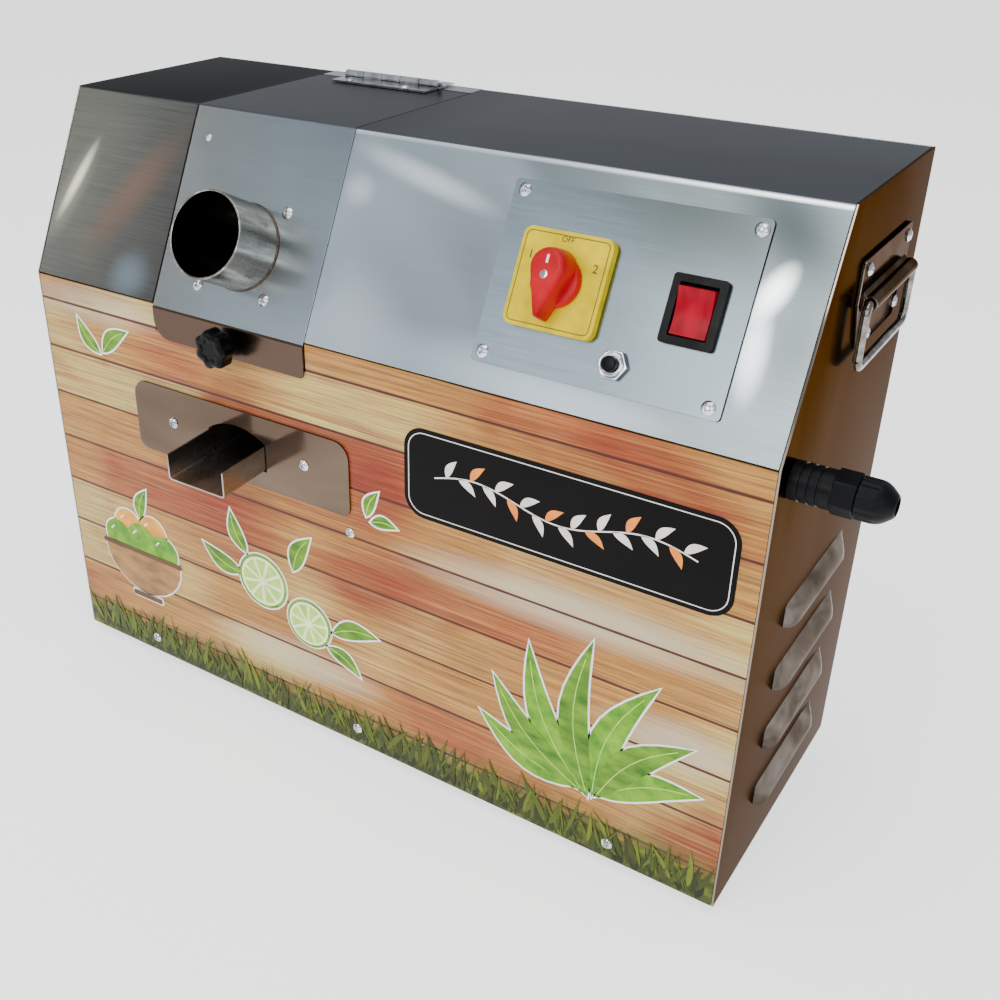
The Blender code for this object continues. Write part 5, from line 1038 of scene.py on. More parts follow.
class Growth:
    """A Geometry Nodes tree with named inputs for its sizes, and short calls that add its nodes."""

    def __init__(self, name):
        self.tree = bpy.data.node_groups.new(name, "GeometryNodeTree")
        self.tree.interface.new_socket("Geometry", in_out="OUTPUT", socket_type="NodeSocketGeometry")
        self.tree.interface.new_socket("Geometry", in_out="INPUT", socket_type="NodeSocketGeometry")
        self.entry = self.tree.nodes.new("NodeGroupInput")
        self.values = []

    def size(self, name, value, kind="Float"):
        """A named input. Its value is set on the modifier, by the socket's identifier."""
        socket = self.tree.interface.new_socket(name, in_out="INPUT", socket_type="NodeSocket" + kind)
        self.values.append((socket.identifier, value))
        return Value(self.entry.outputs[name])

    def node(self, kind, *values, settings=None, **named):
        """Add a node, and give its first output. Values go to its inputs in order, or by name."""
        node = self.tree.nodes.new(kind)
        for name, setting in (settings or {}).items():
            setattr(node, name, setting)
        for socket, value in zip([socket for socket in node.inputs if socket.enabled], values):
            feed(socket, value)
        for name, value in named.items():
            feed(node.inputs[name.replace("_", " ")], value)
        return Value(next(socket for socket in node.outputs if socket.enabled))

    def axes(self):
        """The three coordinates of each point."""
        split = self.tree.nodes.new("ShaderNodeSeparateXYZ")
        feed(split.inputs[0], self.node("GeometryNodeInputPosition"))
        return [Value(socket) for socket in split.outputs]

    def thicken(self, skin, thickness, merge):
        """Make a skin into a closed sheet. Points nearer to each other than merge become one."""
        joined = self.tree.nodes.new("GeometryNodeJoinGeometry")
        feed(joined.inputs[0], self.node("GeometryNodeExtrudeMesh", Mesh=skin, Offset_Scale=thickness,
                                         Individual=False))
        feed(joined.inputs[0], self.node("GeometryNodeFlipFaces", skin))
        return self.node("GeometryNodeMergeByDistance", Geometry=Value(joined.outputs[0]), Distance=merge)

    def grow(self, geometry, material, base=None):
        """Evaluate the tree on a base mesh, and hand over its realized result."""
        stuff = self.size("Finish", material, "Material")
        solid = self.node("GeometryNodeRealizeInstances", geometry)
        solid = self.node("GeometryNodeSetMaterial", Geometry=solid, Material=stuff)
        feed(self.tree.nodes.new("NodeGroupOutput").inputs[0], solid)
        host = put("host", base or bpy.data.meshes.new("host"))
        modifier = host.modifiers.new("growth", "NODES")
        modifier.node_group = self.tree
        for identifier, value in self.values:
            modifier[identifier] = value
        grown = evaluated(host)
        host.modifiers.remove(modifier)
        bpy.data.objects.remove(host)
        bm = bmesh.new()
        bm.from_mesh(grown)
        bpy.data.meshes.remove(grown)
        return bm


def louvres(name, material, middle):
    """Pressed hoods in a row, one above another, on a sheet's face."""
    growth = Growth(name)
    length, tall = growth.size("Length", LOUVRE_LENGTH), growth.size("Height", LOUVRE_HEIGHT)
    reach, wall = growth.size("Reach", LOUVRE_REACH), growth.size("Wall", -LOUVRE_WALL)
    pitch, number = growth.size("Pitch", LOUVRE_PITCH), growth.size("Count", LOUVRE_COUNT, "Int")
    grid = growth.node("GeometryNodeMeshGrid", length, tall, 41, 11)
    x, y, _ = growth.axes()
    from_end = calc("MINIMUM", (length * 0.5 - abs(x)) / (tall * 0.9), 1)
    end = calc("SQRT", calc("MAXIMUM", 1 - (1 - from_end) ** 2.4, 0))
    rise = calc("SINE", (0.5 - y / tall) * (math.pi / 2))
    lift = growth.node("ShaderNodeCombineXYZ", 0, 0, reach * end * rise)
    hood = growth.thicken(growth.node("GeometryNodeSetPosition", Geometry=grid, Offset=lift), wall, 0.00002)
    step = growth.node("ShaderNodeCombineXYZ", 0, pitch, 0)
    column = growth.node("GeometryNodeMeshLine", Count=number, Offset=step,
                         Start_Location=(middle, LOUVRE_FIRST + LOUVRE_HEIGHT / 2, 0))
    return growth.grow(growth.node("GeometryNodeInstanceOnPoints", Points=column, Instance=hood), material)


def louvre_slots(middle):
    """The slots behind the hoods, which let the air through the sheet."""
    half = LOUVRE_LENGTH / 2 - 0.004
    feet = [LOUVRE_FIRST + i * LOUVRE_PITCH for i in range(LOUVRE_COUNT)]
    return [rounded(middle - half, middle + half, foot + 0.0012, foot + LOUVRE_HEIGHT - 0.005, 0.003)
            for foot in feet]


side_outline = [(0, 0), (CABINET_DEPTH, 0), (CABINET_DEPTH, CABINET_HEIGHT), (SLOPE_RUN, CABINET_HEIGHT),
                (0, FRONT_HEIGHT)]
# The side sheets' dark brown tone is partly the steel's own tone and partly painted reflection.
side_finish = Finish("polished_side_sheet", Metallic=1.0, Specular_Tint=(0.276, 0.234, 0.216, 1))
side_drift = side_finish.noise((5, 5, 2.2), detail=3, distortion=0.8)
from_middle = abs(side_finish.axes()[0] - (corner.x + CABINET_WIDTH / 2))
# Painted highlight: the sheet's cut edges are painted lighter than its face.
edge_painted_highlight = from_middle < CABINET_WIDTH / 2 - 0.00006
side_color = side_finish.ramp(side_drift, (0.32, (98, 91, 84)), (0.68, (114, 106, 98)))
side_steel = side_finish.use(Base_Color=side_finish.mix(edge_painted_highlight, side_color, paint(128, 118, 108)),
                             Roughness=side_finish.span(side_drift, 0.3, 0.7, 0.08, 0.18))
# The hoods' brown tone is partly the steel's own tone and partly painted reflection.
hood_steel = mirror_steel("pressed_louvre_steel", (62, 55, 49), (108, 102, 97), 0.1, (16, 22, 40),
                          (0.55, 0.52, 0.50))
louvre_middle = CABINET_DEPTH / 2
for side, face in (("left", LEFT), ("right", RIGHT)):
    holes = louvre_slots(louvre_middle)
    if side == "right":
        holes.append(ring(*GLAND_PLACE, GLAND_THREAD + GAP, 32))
    piece(side + "_side_sheet", plate([side_outline] + holes, -SHEET, 0, 0.0003), side_steel, "cabinet",
          face, [side + "_side_panel"])
    piece(side + "_louvres", louvres(side + "_louvre_tree", hood_steel, louvre_middle), hood_steel, "cabinet",
          face, sharp=50)

# Hedge of leaves along the foot of the print. Three rows of pointed leaves lean this way and that, the
# tallest on top and the palest. Each is printed a hair proud of the film.

HEDGE_SEED = 7
HEDGE_ROWS = ((0.0085, 150, 0.0375, 0.0042, 0.00052, 0.40), (0.0045, 160, 0.0290, 0.0048, 0.00032, 0.2),
              (0.0015, 150, 0.0205, 0.0056, 0.00012, 0.0))
leaf_finish = Finish("printed_leaves", Roughness=0.4, Specular_IOR_Level=0.2)
tone = leaf_finish.node("ShaderNodeAttribute", output="Fac", attribute_name="tone")
leaf_shade = leaf_finish.ramp(tone, (0.05, (32, 36, 4)), (0.45, (58, 66, 10)), (0.75, (84, 96, 18)),
                              (1.0, (118, 126, 36)))
veins = leaf_finish.ramp(leaf_finish.noise((260, 1, 60)), (0.35, (30, 38, 12)), (0.65, (150, 160, 90)))
leaf_print = leaf_finish.use(Base_Color=leaf_finish.mix(0.3, leaf_shade, veins, "OVERLAY"))


def leaf_row(name, foot, count, length, width, level, shade):
    """A row of leaves on the front sheet, standing on a line along X."""
    growth = Growth(name)
    long, wide = growth.size("Leaf length", length), growth.size("Leaf width", width)
    number, seed = growth.size("Count", count, "Int"), growth.size("Seed", HEDGE_SEED + count, "Int")
    grid = growth.node("GeometryNodeMeshGrid", 1.0, 1.0, 3, 9)
    across, up, _ = growth.axes()
    up = up + 0.5
    swell = (calc("SINE", up ** 0.72 * math.pi) + (1 - up) * 0.35) * wide
    bow = up * up * (long * 0.16)
    ridge = (0.5 - abs(across)) * 0.0002
    shape = growth.node("ShaderNodeCombineXYZ", across * swell + bow, up * long, ridge)
    leaf = growth.node("GeometryNodeSetPosition", Geometry=grid, Position=shape)
    leaf = growth.thicken(leaf, 0.00006, 0.00001)
    margin = 0.012
    pitch = (SKIN_RIGHT - SKIN_LEFT - 2 * margin) / (count - 1)
    line = growth.node("GeometryNodeMeshLine", Count=number, Start_Location=(SKIN_LEFT + margin, foot, level),
                       Offset=(pitch, 0, 0))

    def chance(low, high, offset):
        """A random number for each leaf."""
        return growth.node("FunctionNodeRandomValue", low, high, settings={"data_type": "FLOAT"},
                           Seed=seed + offset)

    jitter = growth.node("ShaderNodeCombineXYZ", chance(-0.003, 0.003, 1), chance(-0.001, 0.0015, 2),
                         chance(0, 0.00012, 3))
    line = growth.node("GeometryNodeSetPosition", Geometry=line, Offset=jitter)
    lean = growth.node("ShaderNodeCombineXYZ", 0, 0, chance(-0.62, 0.62, 4))
    grown_size = growth.node("ShaderNodeCombineXYZ", chance(-1.1, 1.1, 5), chance(0.55, 1.1, 6), 1)
    leaves = growth.node("GeometryNodeInstanceOnPoints", Points=line, Instance=leaf, Rotation=lean,
                         Scale=grown_size)
    stored = growth.node("GeometryNodeStoreNamedAttribute", Geometry=leaves, Name="tone",
                         Value=chance(shade, shade + 0.5, 7),
                         settings={"data_type": "FLOAT", "domain": "INSTANCE"})
    return growth.grow(stored, leaf_print)


hedge = together(*[leaf_row("leaf_row_" + str(i), *sizes) for i, sizes in enumerate(HEDGE_ROWS)])
piece("leaf_hedge", hedge, leaf_print, "cabinet", FRONT)

# Dark label plate. A plain rounded panel is printed at the upper right, very dark brown, with a thin
# pale border and a branch of leaves, white and orange, in place of any words.

FILM, LAYER = 0.0001, 0.00012
LABEL = (0.3735, 0.6235, 0.241, 0.313)
LABEL_CORNER, LABEL_MARGIN, LABEL_LINE = 0.017, 0.0034, 0.0007


def film(outlines, layer):
    """A printed shape, as a film that lies one layer higher than what it covers."""
    return plate(outlines, LAYER * layer, LAYER * layer + FILM)


def inked(name, dark, light, scale=(60, 1, 60), roughness=0.38, shine=0.2):
    """Printing ink with a soft change of tone across it."""
    finish = Finish(name, Specular_IOR_Level=shine)
    drift = finish.noise(scale, roughness=0.55)
    return finish.clouded(drift, dark, light, roughness - 0.05, roughness + 0.05)


def inset(sides, amount):
    """A box's sides moved inwards."""
    left, right, low, high = sides
    return left + amount, right - amount, low + amount, high - amount


def swung(points, x, y, degrees):
    """Points turned by an angle and moved to a place."""
    turn = math.radians(degrees)
    return [(x + a * math.cos(turn) - b * math.sin(turn), y + a * math.sin(turn) + b * math.cos(turn))
            for a, b in points]


LEAF_BOW = 0.10


def leaf_outline(x, y, length, width, degrees, steps=9):
    """A pointed leaf from its stem at (x, y), pointing the way of an angle."""
    sides = []
    for side in (1, -1):
        points = []
        for step in range(steps + 1):
            share = step / steps
            swell = width / 2 * math.sin(math.pi * share ** 0.82) * side
            points.append((share * length, swell + LEAF_BOW * length * math.sin(math.pi * share)))
        sides.append(points)
    return swung(sides[0][:-1] + sides[1][:0:-1], x, y, degrees)


def stroke(points, width):
    """A drawn line of one width along a row of points."""
    points = [Vector(point) for point in points]
    ways = [(second - first).normalized() for first, second in zip(points, points[1:])]
    left, right = [], []
    for i, point in enumerate(points):
        middle = (ways[max(i - 1, 0)] + ways[min(i, len(ways) - 1)]).normalized()
        side = Vector((-middle.y, middle.x)) * width / 2
        left.append(tuple(point + side))
        right.append(tuple(point - side))
    return left + right[::-1]


label_ink = inked("label_dark_brown", (7, 3, 5), (14, 8, 11), (14, 1, 14), 0.34, 0.08)
pale_ink = inked("label_pale_line", (206, 198, 186), (232, 226, 216))
orange_ink = inked("label_orange", (214, 112, 40), (236, 146, 66))
piece("label_panel", film([rounded(*LABEL, LABEL_CORNER, 10)], 1), label_ink, "cabinet",
      FRONT)
border = film([rounded(*inset(LABEL, inwards), LABEL_CORNER - inwards, 10)
               for inwards in (LABEL_MARGIN, LABEL_MARGIN + LABEL_LINE)], 2)
branch_from, branch_to, branch_level = LABEL[0] + 0.026, LABEL[1] - 0.026, (LABEL[2] + LABEL[3]) / 2
branch = [(branch_from + (branch_to - branch_from) * i / 60,
           branch_level + 0.0065 * math.sin(3 * math.pi * i / 60)) for i in range(61)]
pale_parts, orange_parts = [border, film([stroke(branch, 0.0011)], 2)], []
for i in range(3, 60, 3):
    before, after = branch[i - 1], branch[i + 1]
    slope_here = math.degrees(math.atan2(after[1] - before[1], after[0] - before[0]))
    outline = leaf_outline(*branch[i], 0.0175, 0.0062, slope_here + (46 if i % 2 else -46))
    if i % 9 == 0:
        orange_parts.append(film([outline], 3))
    else:
        pale_parts.append(film([outline], 2))
piece("label_branch", together(*pale_parts), pale_ink, "cabinet", FRONT)
piece("label_accent_leaves", together(*orange_parts), orange_ink, "cabinet", FRONT)

# Printed fruit and leaves. A bowl of fruit stands at the left, cut limes lie in the middle, and a
# bunch of broad leaves grows at the right. Every figure has a white outline, as cut-out prints have.

OUTLINE_WIDTH = 0.0016


def widened(outline, distance):
    """An outline moved outwards all round."""
    points = [Vector(point) for point in outline]
    area = sum(a.x * b.y - b.x * a.y for a, b in zip(points, points[1:] + points[:1]))
    outwards = 1 if area > 0 else -1
    wider = []
    for before, at, after in zip(points[-1:] + points[:-1], points, points[1:] + points[:1]):
        into, out = (at - before).normalized(), (after - at).normalized()
        middle = (into + out).normalized() if (into + out).length > 1e-6 else into
        side = Vector((middle.y, -middle.x)) * outwards
        square = Vector((out.y, -out.x)) * outwards
        wider.append(tuple(at + side * distance / max(side.dot(square), 0.5)))
    return wider


inks = {
    "white": inked("print_white", (226, 228, 222), (242, 242, 238)),
    "leaf_green": inked("print_leaf_green", (44, 92, 14), (112, 154, 36), (40, 1, 110)),
    "pale_green": inked("print_pale_green", (140, 192, 66), (190, 220, 110), (90, 1, 90)),
    "rind_green": inked("print_rind_green", (52, 112, 16), (122, 170, 36), (70, 1, 70)),
    "pith": inked("print_pith", (226, 232, 178), (240, 244, 206), (90, 1, 90)),
    "fruit_orange": inked("print_fruit_orange", (204, 118, 30), (238, 172, 62), (46, 1, 46)),
    "bowl_brown": inked("print_bowl_brown", (110, 76, 42), (166, 124, 72), (30, 1, 90)),
    "shade_brown": inked("print_shade_brown", (70, 46, 28), (98, 66, 38), (30, 1, 90)),
}
figures = {name: [] for name in inks}


def figure(color, outline, layer, outlined=False):
    """Add a printed shape in a colour, with a white outline where it is asked for."""
    if outlined:
        figures["white"].append(film([widened(outline, OUTLINE_WIDTH)], 1))
    figures[color].append(film([outline], layer))


def leaf_figure(x, y, length, width, degrees, color="leaf_green", layer=2):
    """A printed leaf with its pale spine."""
    figure(color, leaf_outline(x, y, length, width, degrees), layer, True)
    shares = [0.04 + 0.84 * step / 8 for step in range(9)]
    spine = [(share * length, LEAF_BOW * length * math.sin(math.pi * share)) for share in shares]
    figure("pale_green", stroke(swung(spine, x, y, degrees), 0.0007), layer + 1)


def lime_slice(x, y, radius, layer=4, tilt=0.0):
    """A cut lime: rind, pith and nine wedges."""
    figure("rind_green", ring(x, y, radius, 40), layer, True)
    figure("pith", ring(x, y, radius * 0.9, 40), layer + 1)
    for i in range(9):
        middle = tilt + 2 * math.pi * i / 9
        point = (x + radius * 0.12 * math.cos(middle), y + radius * 0.12 * math.sin(middle))
        figure("pale_green", [point] + arc(x, y, radius * 0.8, math.degrees(middle) - 15.5, 31, 6), layer + 2)


LIME_LEAVES = ((0.205, 0.128, 0.046, 0.017, 158), (0.212, 0.150, 0.040, 0.015, 112),
               (0.262, 0.150, 0.042, 0.016, 62), (0.300, 0.104, 0.048, 0.017, 14),
               (0.294, 0.088, 0.038, 0.014, -28))
SPRIGS = ((0.068, 0.296, 0.040, 0.014, 38), (0.064, 0.294, 0.036, 0.013, 128),
          (0.338, 0.226, 0.026, 0.010, 64), (0.342, 0.222, 0.024, 0.010, 4))
for leaf in LIME_LEAVES:
    leaf_figure(*leaf)
lime_slice(0.228, 0.128, 0.0255, tilt=0.2)
lime_slice(0.276, 0.104, 0.0225, layer=7, tilt=0.5)
for leaf in SPRIGS:
    leaf_figure(*leaf)

BOWL_X, BOWL_RIM, BOWL_HALF, BOWL_FOOT = 0.084, 0.106, 0.047, 0.060
FRUIT = ((0.070, 0.130, 0.0165, "fruit_orange", 2), (0.100, 0.131, 0.0165, "fruit_orange", 3),
         (0.056, 0.115, 0.0165, "rind_green", 4), (0.112, 0.115, 0.0165, "rind_green", 4),
         (0.085, 0.118, 0.0180, "rind_green", 5))
for x, y, radius, color, layer in FRUIT:
    figure(color, ring(x, y, radius, 40), layer, True)
    shine = [(x - radius * 0.62 * math.cos(a), y + radius * 0.62 * math.sin(a)) for a in (0.5, 0.7, 0.9, 1.1)]
    figure("pith", stroke(shine, 0.0016), layer + 1)
leaf_figure(0.086, 0.142, 0.034, 0.013, 70)
belly = [(BOWL_X + BOWL_HALF * across * 0.98, BOWL_RIM - 0.002 + (BOWL_RIM - BOWL_FOOT - 0.004) * down * 0.98)
         for across, down in arc(0, 0, 1, 180, 180, 12)]
figure("bowl_brown", [(BOWL_X - BOWL_HALF, BOWL_RIM)] + belly + [(BOWL_X + BOWL_HALF, BOWL_RIM)], 7, True)
figure("shade_brown", centred((BOWL_X, BOWL_RIM), (0.098, 0.0044), 0.0021), 8)
figure("shade_brown", centred((BOWL_X, BOWL_FOOT - 0.0010), (0.036, 0.0050), 0.0012), 8, True)

BUNCH_X, BUNCH_FOOT, BUNCH_LEAF_WIDTH = 0.536, 0.050, 0.024
BUNCH = ((0.092, 158), (0.108, 136), (0.128, 114), (0.140, 92), (0.126, 70), (0.104, 48), (0.084, 26))
for i, (length, degrees) in enumerate(BUNCH):
    out = i - len(BUNCH) // 2
    leaf_figure(BUNCH_X + 0.003 * out, BUNCH_FOOT + 0.002 * abs(out), length, BUNCH_LEAF_WIDTH, degrees,
                "leaf_green" if i % 2 else "rind_green", 2 + 2 * (i % 2))
for name, parts in figures.items():
    piece("print_" + name, together(*parts), inks[name], "cabinet", FRONT)

# Rear panel. Its sheet has the opening where the crushed cane leaves, air louvres for the motor, and a
# narrow flange at its top that carries the lid's hinge.

WASTE_OPENING = (0.150, 0.270, 0.366, 0.436)
REAR_LOUVRE_X = 0.500
FLANGE_REACH = 0.0174
rear_finish, rear_color, rear_gloss = brushed_steel(
    "brushed_rear_sheet", ((146, 147, 149), (160, 163, 167), (174, 179, 184)), 0.28)
rear_steel = rear_finish.use(Base_Color=rear_color, Roughness=rear_gloss)
rear_sheet = plate([rounded(SKIN_LEFT, SKIN_RIGHT, 0, CABINET_HEIGHT), rounded(*WASTE_OPENING, 0.008)]
                   + louvre_slots(REAR_LOUVRE_X), -SHEET, 0, 0.0003)
hinge_flange = plate([rounded(LID_LEFT + SEAM, LID_RIGHT - SEAM, -SHEET, FLANGE_REACH)], -SHEET, 0)
FLAT_ON_TOP = Matrix(((1, 0, 0, 0), (0, 0, 1, CABINET_HEIGHT), (0, -1, 0, -SHEET / 2), (0, 0, 0, 1)))
piece("rear_sheet", together(rear_sheet, moved(hinge_flange, FLAT_ON_TOP)), rear_steel, "cabinet",
      REAR, ["rear_panel"])
piece("rear_louvres", louvres("rear_louvre_tree", hood_steel, REAR_LOUVRE_X), hood_steel, "cabinet",
      REAR, sharp=50)

# Carry handles. A polished plate is screwed high on each side panel, with a barrel rolled along its
# middle, and a chromed wire bail swings in the barrel. It hangs down when it isn't held.

HANDLE_PLACE = (0.153, 0.424)
PLATE_TOP_HALF, PLATE_FOOT_HALF, PLATE_ABOVE, PLATE_BELOW, HANDLE_PLATE = 0.053, 0.040, 0.028, 0.034, 0.002
AXIS_OUT, BARREL_RADIUS, BARREL_BORE, BARREL_HALF = 0.007, 0.005, 0.0036, 0.046
WIRE_RADIUS, BAIL_HALF, BAIL_DROP, BAIL_PIN, BAIL_BEND = 0.003, 0.052, 0.041, 0.016, 0.0065
handle_y, handle_z = HANDLE_PLACE


def tube(path, radius, count=16):
    """A round wire along a flat path of (X, Y) points, with rounded ends."""
    ways = [(second - first).normalized() for first, second in zip(path, path[1:])]
    sections = [(path[0], ways[0], ways[0], 0.5, -0.35), (path[0], ways[0], ways[0], 0.86, -0.12)]
    for i, point in enumerate(path):
        sections.append((point, ways[max(i - 1, 0)], ways[min(i, len(ways) - 1)], 1, 0))
    sections += [(path[-1], ways[-1], ways[-1], 0.86, 0.12), (path[-1], ways[-1], ways[-1], 0.5, 0.35)]
    loops = []
    for point, before, after, share, shift in sections:
        middle = (before + after).normalized()
        side = Vector((-middle.y, middle.x)) / middle.dot(after)
        center = point + after * shift * radius
        loops.append([(*(center + side * radius * share * math.cos(2 * math.pi * j / count)),
                       radius * share * math.sin(2 * math.pi * j / count)) for j in range(count)])
    return loft(loops)


handle_outline = rounded_path([
    (handle_y, handle_z - PLATE_BELOW), (handle_y + PLATE_FOOT_HALF, handle_z - PLATE_BELOW),
    (handle_y + PLATE_TOP_HALF, handle_z), (handle_y + PLATE_TOP_HALF, handle_z + PLATE_ABOVE),
    (handle_y - PLATE_TOP_HALF, handle_z + PLATE_ABOVE), (handle_y - PLATE_TOP_HALF, handle_z),
    (handle_y - PLATE_FOOT_HALF, handle_z - PLATE_BELOW), (handle_y, handle_z - PLATE_BELOW)], 0.005)[:-1]
plate_top = GAP + HANDLE_PLATE
# The barrel's section, as a sheet rolled up from the plate and down to it again.
roll = arc(0, AXIS_OUT, BARREL_RADIUS, -32, 244, 24)
roll_foot = BARREL_RADIUS + 0.0022
roll = [(roll_foot, plate_top - 0.0004), (roll_foot - 0.0012, plate_top + 0.0004)] + roll
roll += [(0.0012 - roll_foot, plate_top + 0.0004), (-roll_foot, plate_top - 0.0004)]
ALONG_Y = Matrix(((0, 0, 1, handle_y), (1, 0, 0, handle_z), (0, 1, 0, 0), (0, 0, 0, 1)))
bail_path = rounded_path([(BAIL_PIN - BAIL_HALF, 0), (-BAIL_HALF, 0), (-BAIL_HALF, -BAIL_DROP),
                          (BAIL_HALF, -BAIL_DROP), (BAIL_HALF, 0), (BAIL_HALF - BAIL_PIN, 0)], BAIL_BEND, 7)
# The handle plate's dark brown tone is partly the steel's own tone and partly painted reflection.
handle_steel = mirror_steel("polished_handle_plate", (88, 80, 72), (116, 108, 100), 0.12, (24, 24, 24),
                            (0.36, 0.31, 0.29))
bail_chrome = chromed("bail_chrome", (72, 64, 58), (150, 144, 138), 0.1)
for side, face in (("left", LEFT), ("right", RIGHT)):
    back = plate([handle_outline], GAP, plate_top, 0.0005)
    barrel = plate([roll, ring(0, AXIS_OUT, BARREL_BORE, 32)], -BARREL_HALF, BARREL_HALF, 0.0003)
    piece(side + "_handle_back", together(back, moved(barrel, ALONG_Y)), handle_steel, "cabinet",
          face, [side + "_handle_plate"])
    piece(side + "_bail_wire", tube(bail_path, WIRE_RADIUS), bail_chrome, side + "_bail",
          face @ Matrix.Translation((handle_y, handle_z, AXIS_OUT)), [side + "_handle_bail"])

# Pan screws. Bright plated screws with a cross recess hold the front sheet, the trim, the controls,
# the handles, the hinge and the pipe's flange. Each is turned home by hand to a stop of its own.

HEAD_RADIUS, HEAD_HEIGHT = 0.0046, 0.0026
RECESS_LENGTH, RECESS_WIDTH, RECESS_DEPTH = 0.0048, 0.0009, 0.0013
head_profile = [(0, HEAD_HEIGHT), (0.0016, HEAD_HEIGHT - 0.00008), (0.0029, HEAD_HEIGHT - 0.0005),
                (0.0039, HEAD_HEIGHT - 0.0013), (HEAD_RADIUS, 0.0006), (HEAD_RADIUS, 0), (0, 0)]
screw_chrome = chromed("screw_chrome", (140, 142, 146), (228, 230, 234), 0.14)
head = piece("head", turned(head_profile, 28), screw_chrome, None)
for size in ((RECESS_LENGTH, RECESS_WIDTH), (RECESS_WIDTH, RECESS_LENGTH)):
    slot = plate([centred((0, 0), size)], HEAD_HEIGHT - RECESS_DEPTH, HEAD_HEIGHT + 0.001)
    cut = head.modifiers.new("recess", "BOOLEAN")
    cut.object, cut.operation, cut.solver = piece("recess", slot, None, None), "DIFFERENCE", "EXACT"
head_mesh = evaluated(head)
for spare in [head] + [cut.object for cut in head.modifiers]:
    bpy.data.objects.remove(spare)


def pan_screws(name, places, seed):
    """Screws at places on faces: (face, x, y, height above the face, size)."""
    bm = bmesh.new()
    facing = bm.verts.layers.float_vector.new("facing")
    size = bm.verts.layers.float.new("head_size")
    for face, x, y, rise, scale in places:
        vert = bm.verts.new(face @ Vector((x, y, rise)))
        vert[facing] = face.to_3x3() @ Vector((0, 0, 1))
        vert[size] = scale
    seats = bpy.data.meshes.new(name + "_seats")
    bm.to_mesh(seats)
    bm.free()
    head = put("head", head_mesh)
    growth = Growth(name + "_tree")
    model = growth.size("Screw", head, "Object")
    spin, start = growth.size("Spin", 2 * math.pi), growth.size("Seed", seed, "Int")
    screw_info = growth.tree.nodes.new("GeometryNodeObjectInfo")
    feed(screw_info.inputs["Object"], model)
    direction, head_size = [
        growth.node("GeometryNodeInputNamedAttribute", settings={"data_type": kind}, Name=key)
        for kind, key in (("FLOAT_VECTOR", "facing"), ("FLOAT", "head_size"))]
    upright = growth.node("FunctionNodeAlignRotationToVector", settings={"axis": "Z"}, Vector=direction)
    angle = growth.node("FunctionNodeRandomValue", Max=spin, Seed=start)
    about = growth.node("FunctionNodeAxisAngleToRotation", Axis=(0, 0, 1), Angle=angle)
    turned_home = growth.node("FunctionNodeRotateRotation", settings={"rotation_space": "LOCAL"},
                              Rotation=upright, Rotate_By=about)
    screws = growth.node("GeometryNodeInstanceOnPoints", Points=Value(growth.entry.outputs["Geometry"]),
                         Instance=Value(screw_info.outputs["Geometry"]), Rotation=turned_home,
                         Scale=head_size)
    grown = growth.grow(screws, screw_chrome, seats)
    bpy.data.objects.remove(head)
    return grown


HINGE_LEAF_TOP = 0.0018
cabinet_screws = [(FRONT, 0.089, 0.015, 0, 1), (FRONT, 0.3226, 0.0156, 0, 1), (FRONT, 0.5546, 0.0141, 0, 1),
                  (FRONT, 0.322, 0.206, 0, 0.9), (FRONT, 0.1443, 0.2521, PLATE_FACE, 1),
                  (FRONT, 0.2809, 0.2531, PLATE_FACE, 1)]
cabinet_screws += [(SLOPE, x, up, PLATE_FACE, 1) for x, up in
                   ((0.431, 0.133), (0.5907, 0.133), (0.4303, 0.0254), (0.5885, 0.0249))]
cabinet_screws += [(face, y, z, plate_top, 0.95) for face in (LEFT, RIGHT) for y, z in
                   ((0.1106, 0.444), (0.198, 0.4435), (0.130, 0.397), (0.191, 0.400))]
cabinet_screws += [(TOP, x, 0.2335, HINGE_LEAF_TOP, 0.75) for x in (0.178, 0.234)]
cabinet_screws += [(REAR, x, z, 0, 0.9) for x in (0.016, 0.218, 0.422, 0.624) for z in (0.016, 0.474)]
cabinet_screws += [(REAR, x, 0.245, 0, 0.9) for x in (0.016, 0.624)]
lid_screws = [(SLOPE, 0.2434, 0.0879, 0, 1), (SLOPE, 0.2405, 0.0223, 0, 1), (SLOPE, 0.1751, 0.0217, 0, 1),
              (SLOPE, 0.175, 0.088, 0, 1), (SLOPE, 0.1519, 0.132, 0, 0.6)]
lid_screws += [(TOP, x, 0.2035, HINGE_LEAF_TOP, 0.75) for x in (0.178, 0.234)]
piece("cabinet_screws", pan_screws("cabinet_screws", cabinet_screws, 4), screw_chrome, "cabinet")
piece("lid_screws", pan_screws("lid_screws", lid_screws, 9), screw_chrome, "lid")

# Lid hinge. Two chromed leaves are rolled about a steel pin at the lid's rear, one screwed to the lid
# and one to the rear panel's flange.

hinge_chrome = chromed("hinge_chrome", (158, 158, 162), (198, 200, 204), 0.15)
dress(hinge_chrome, "hinge_lid_leaf", "hinge_rear_leaf")

# Feet. Four moulded feet of milky rubber are pushed on under the base pan, each with a hollow for the
# screw that holds it.

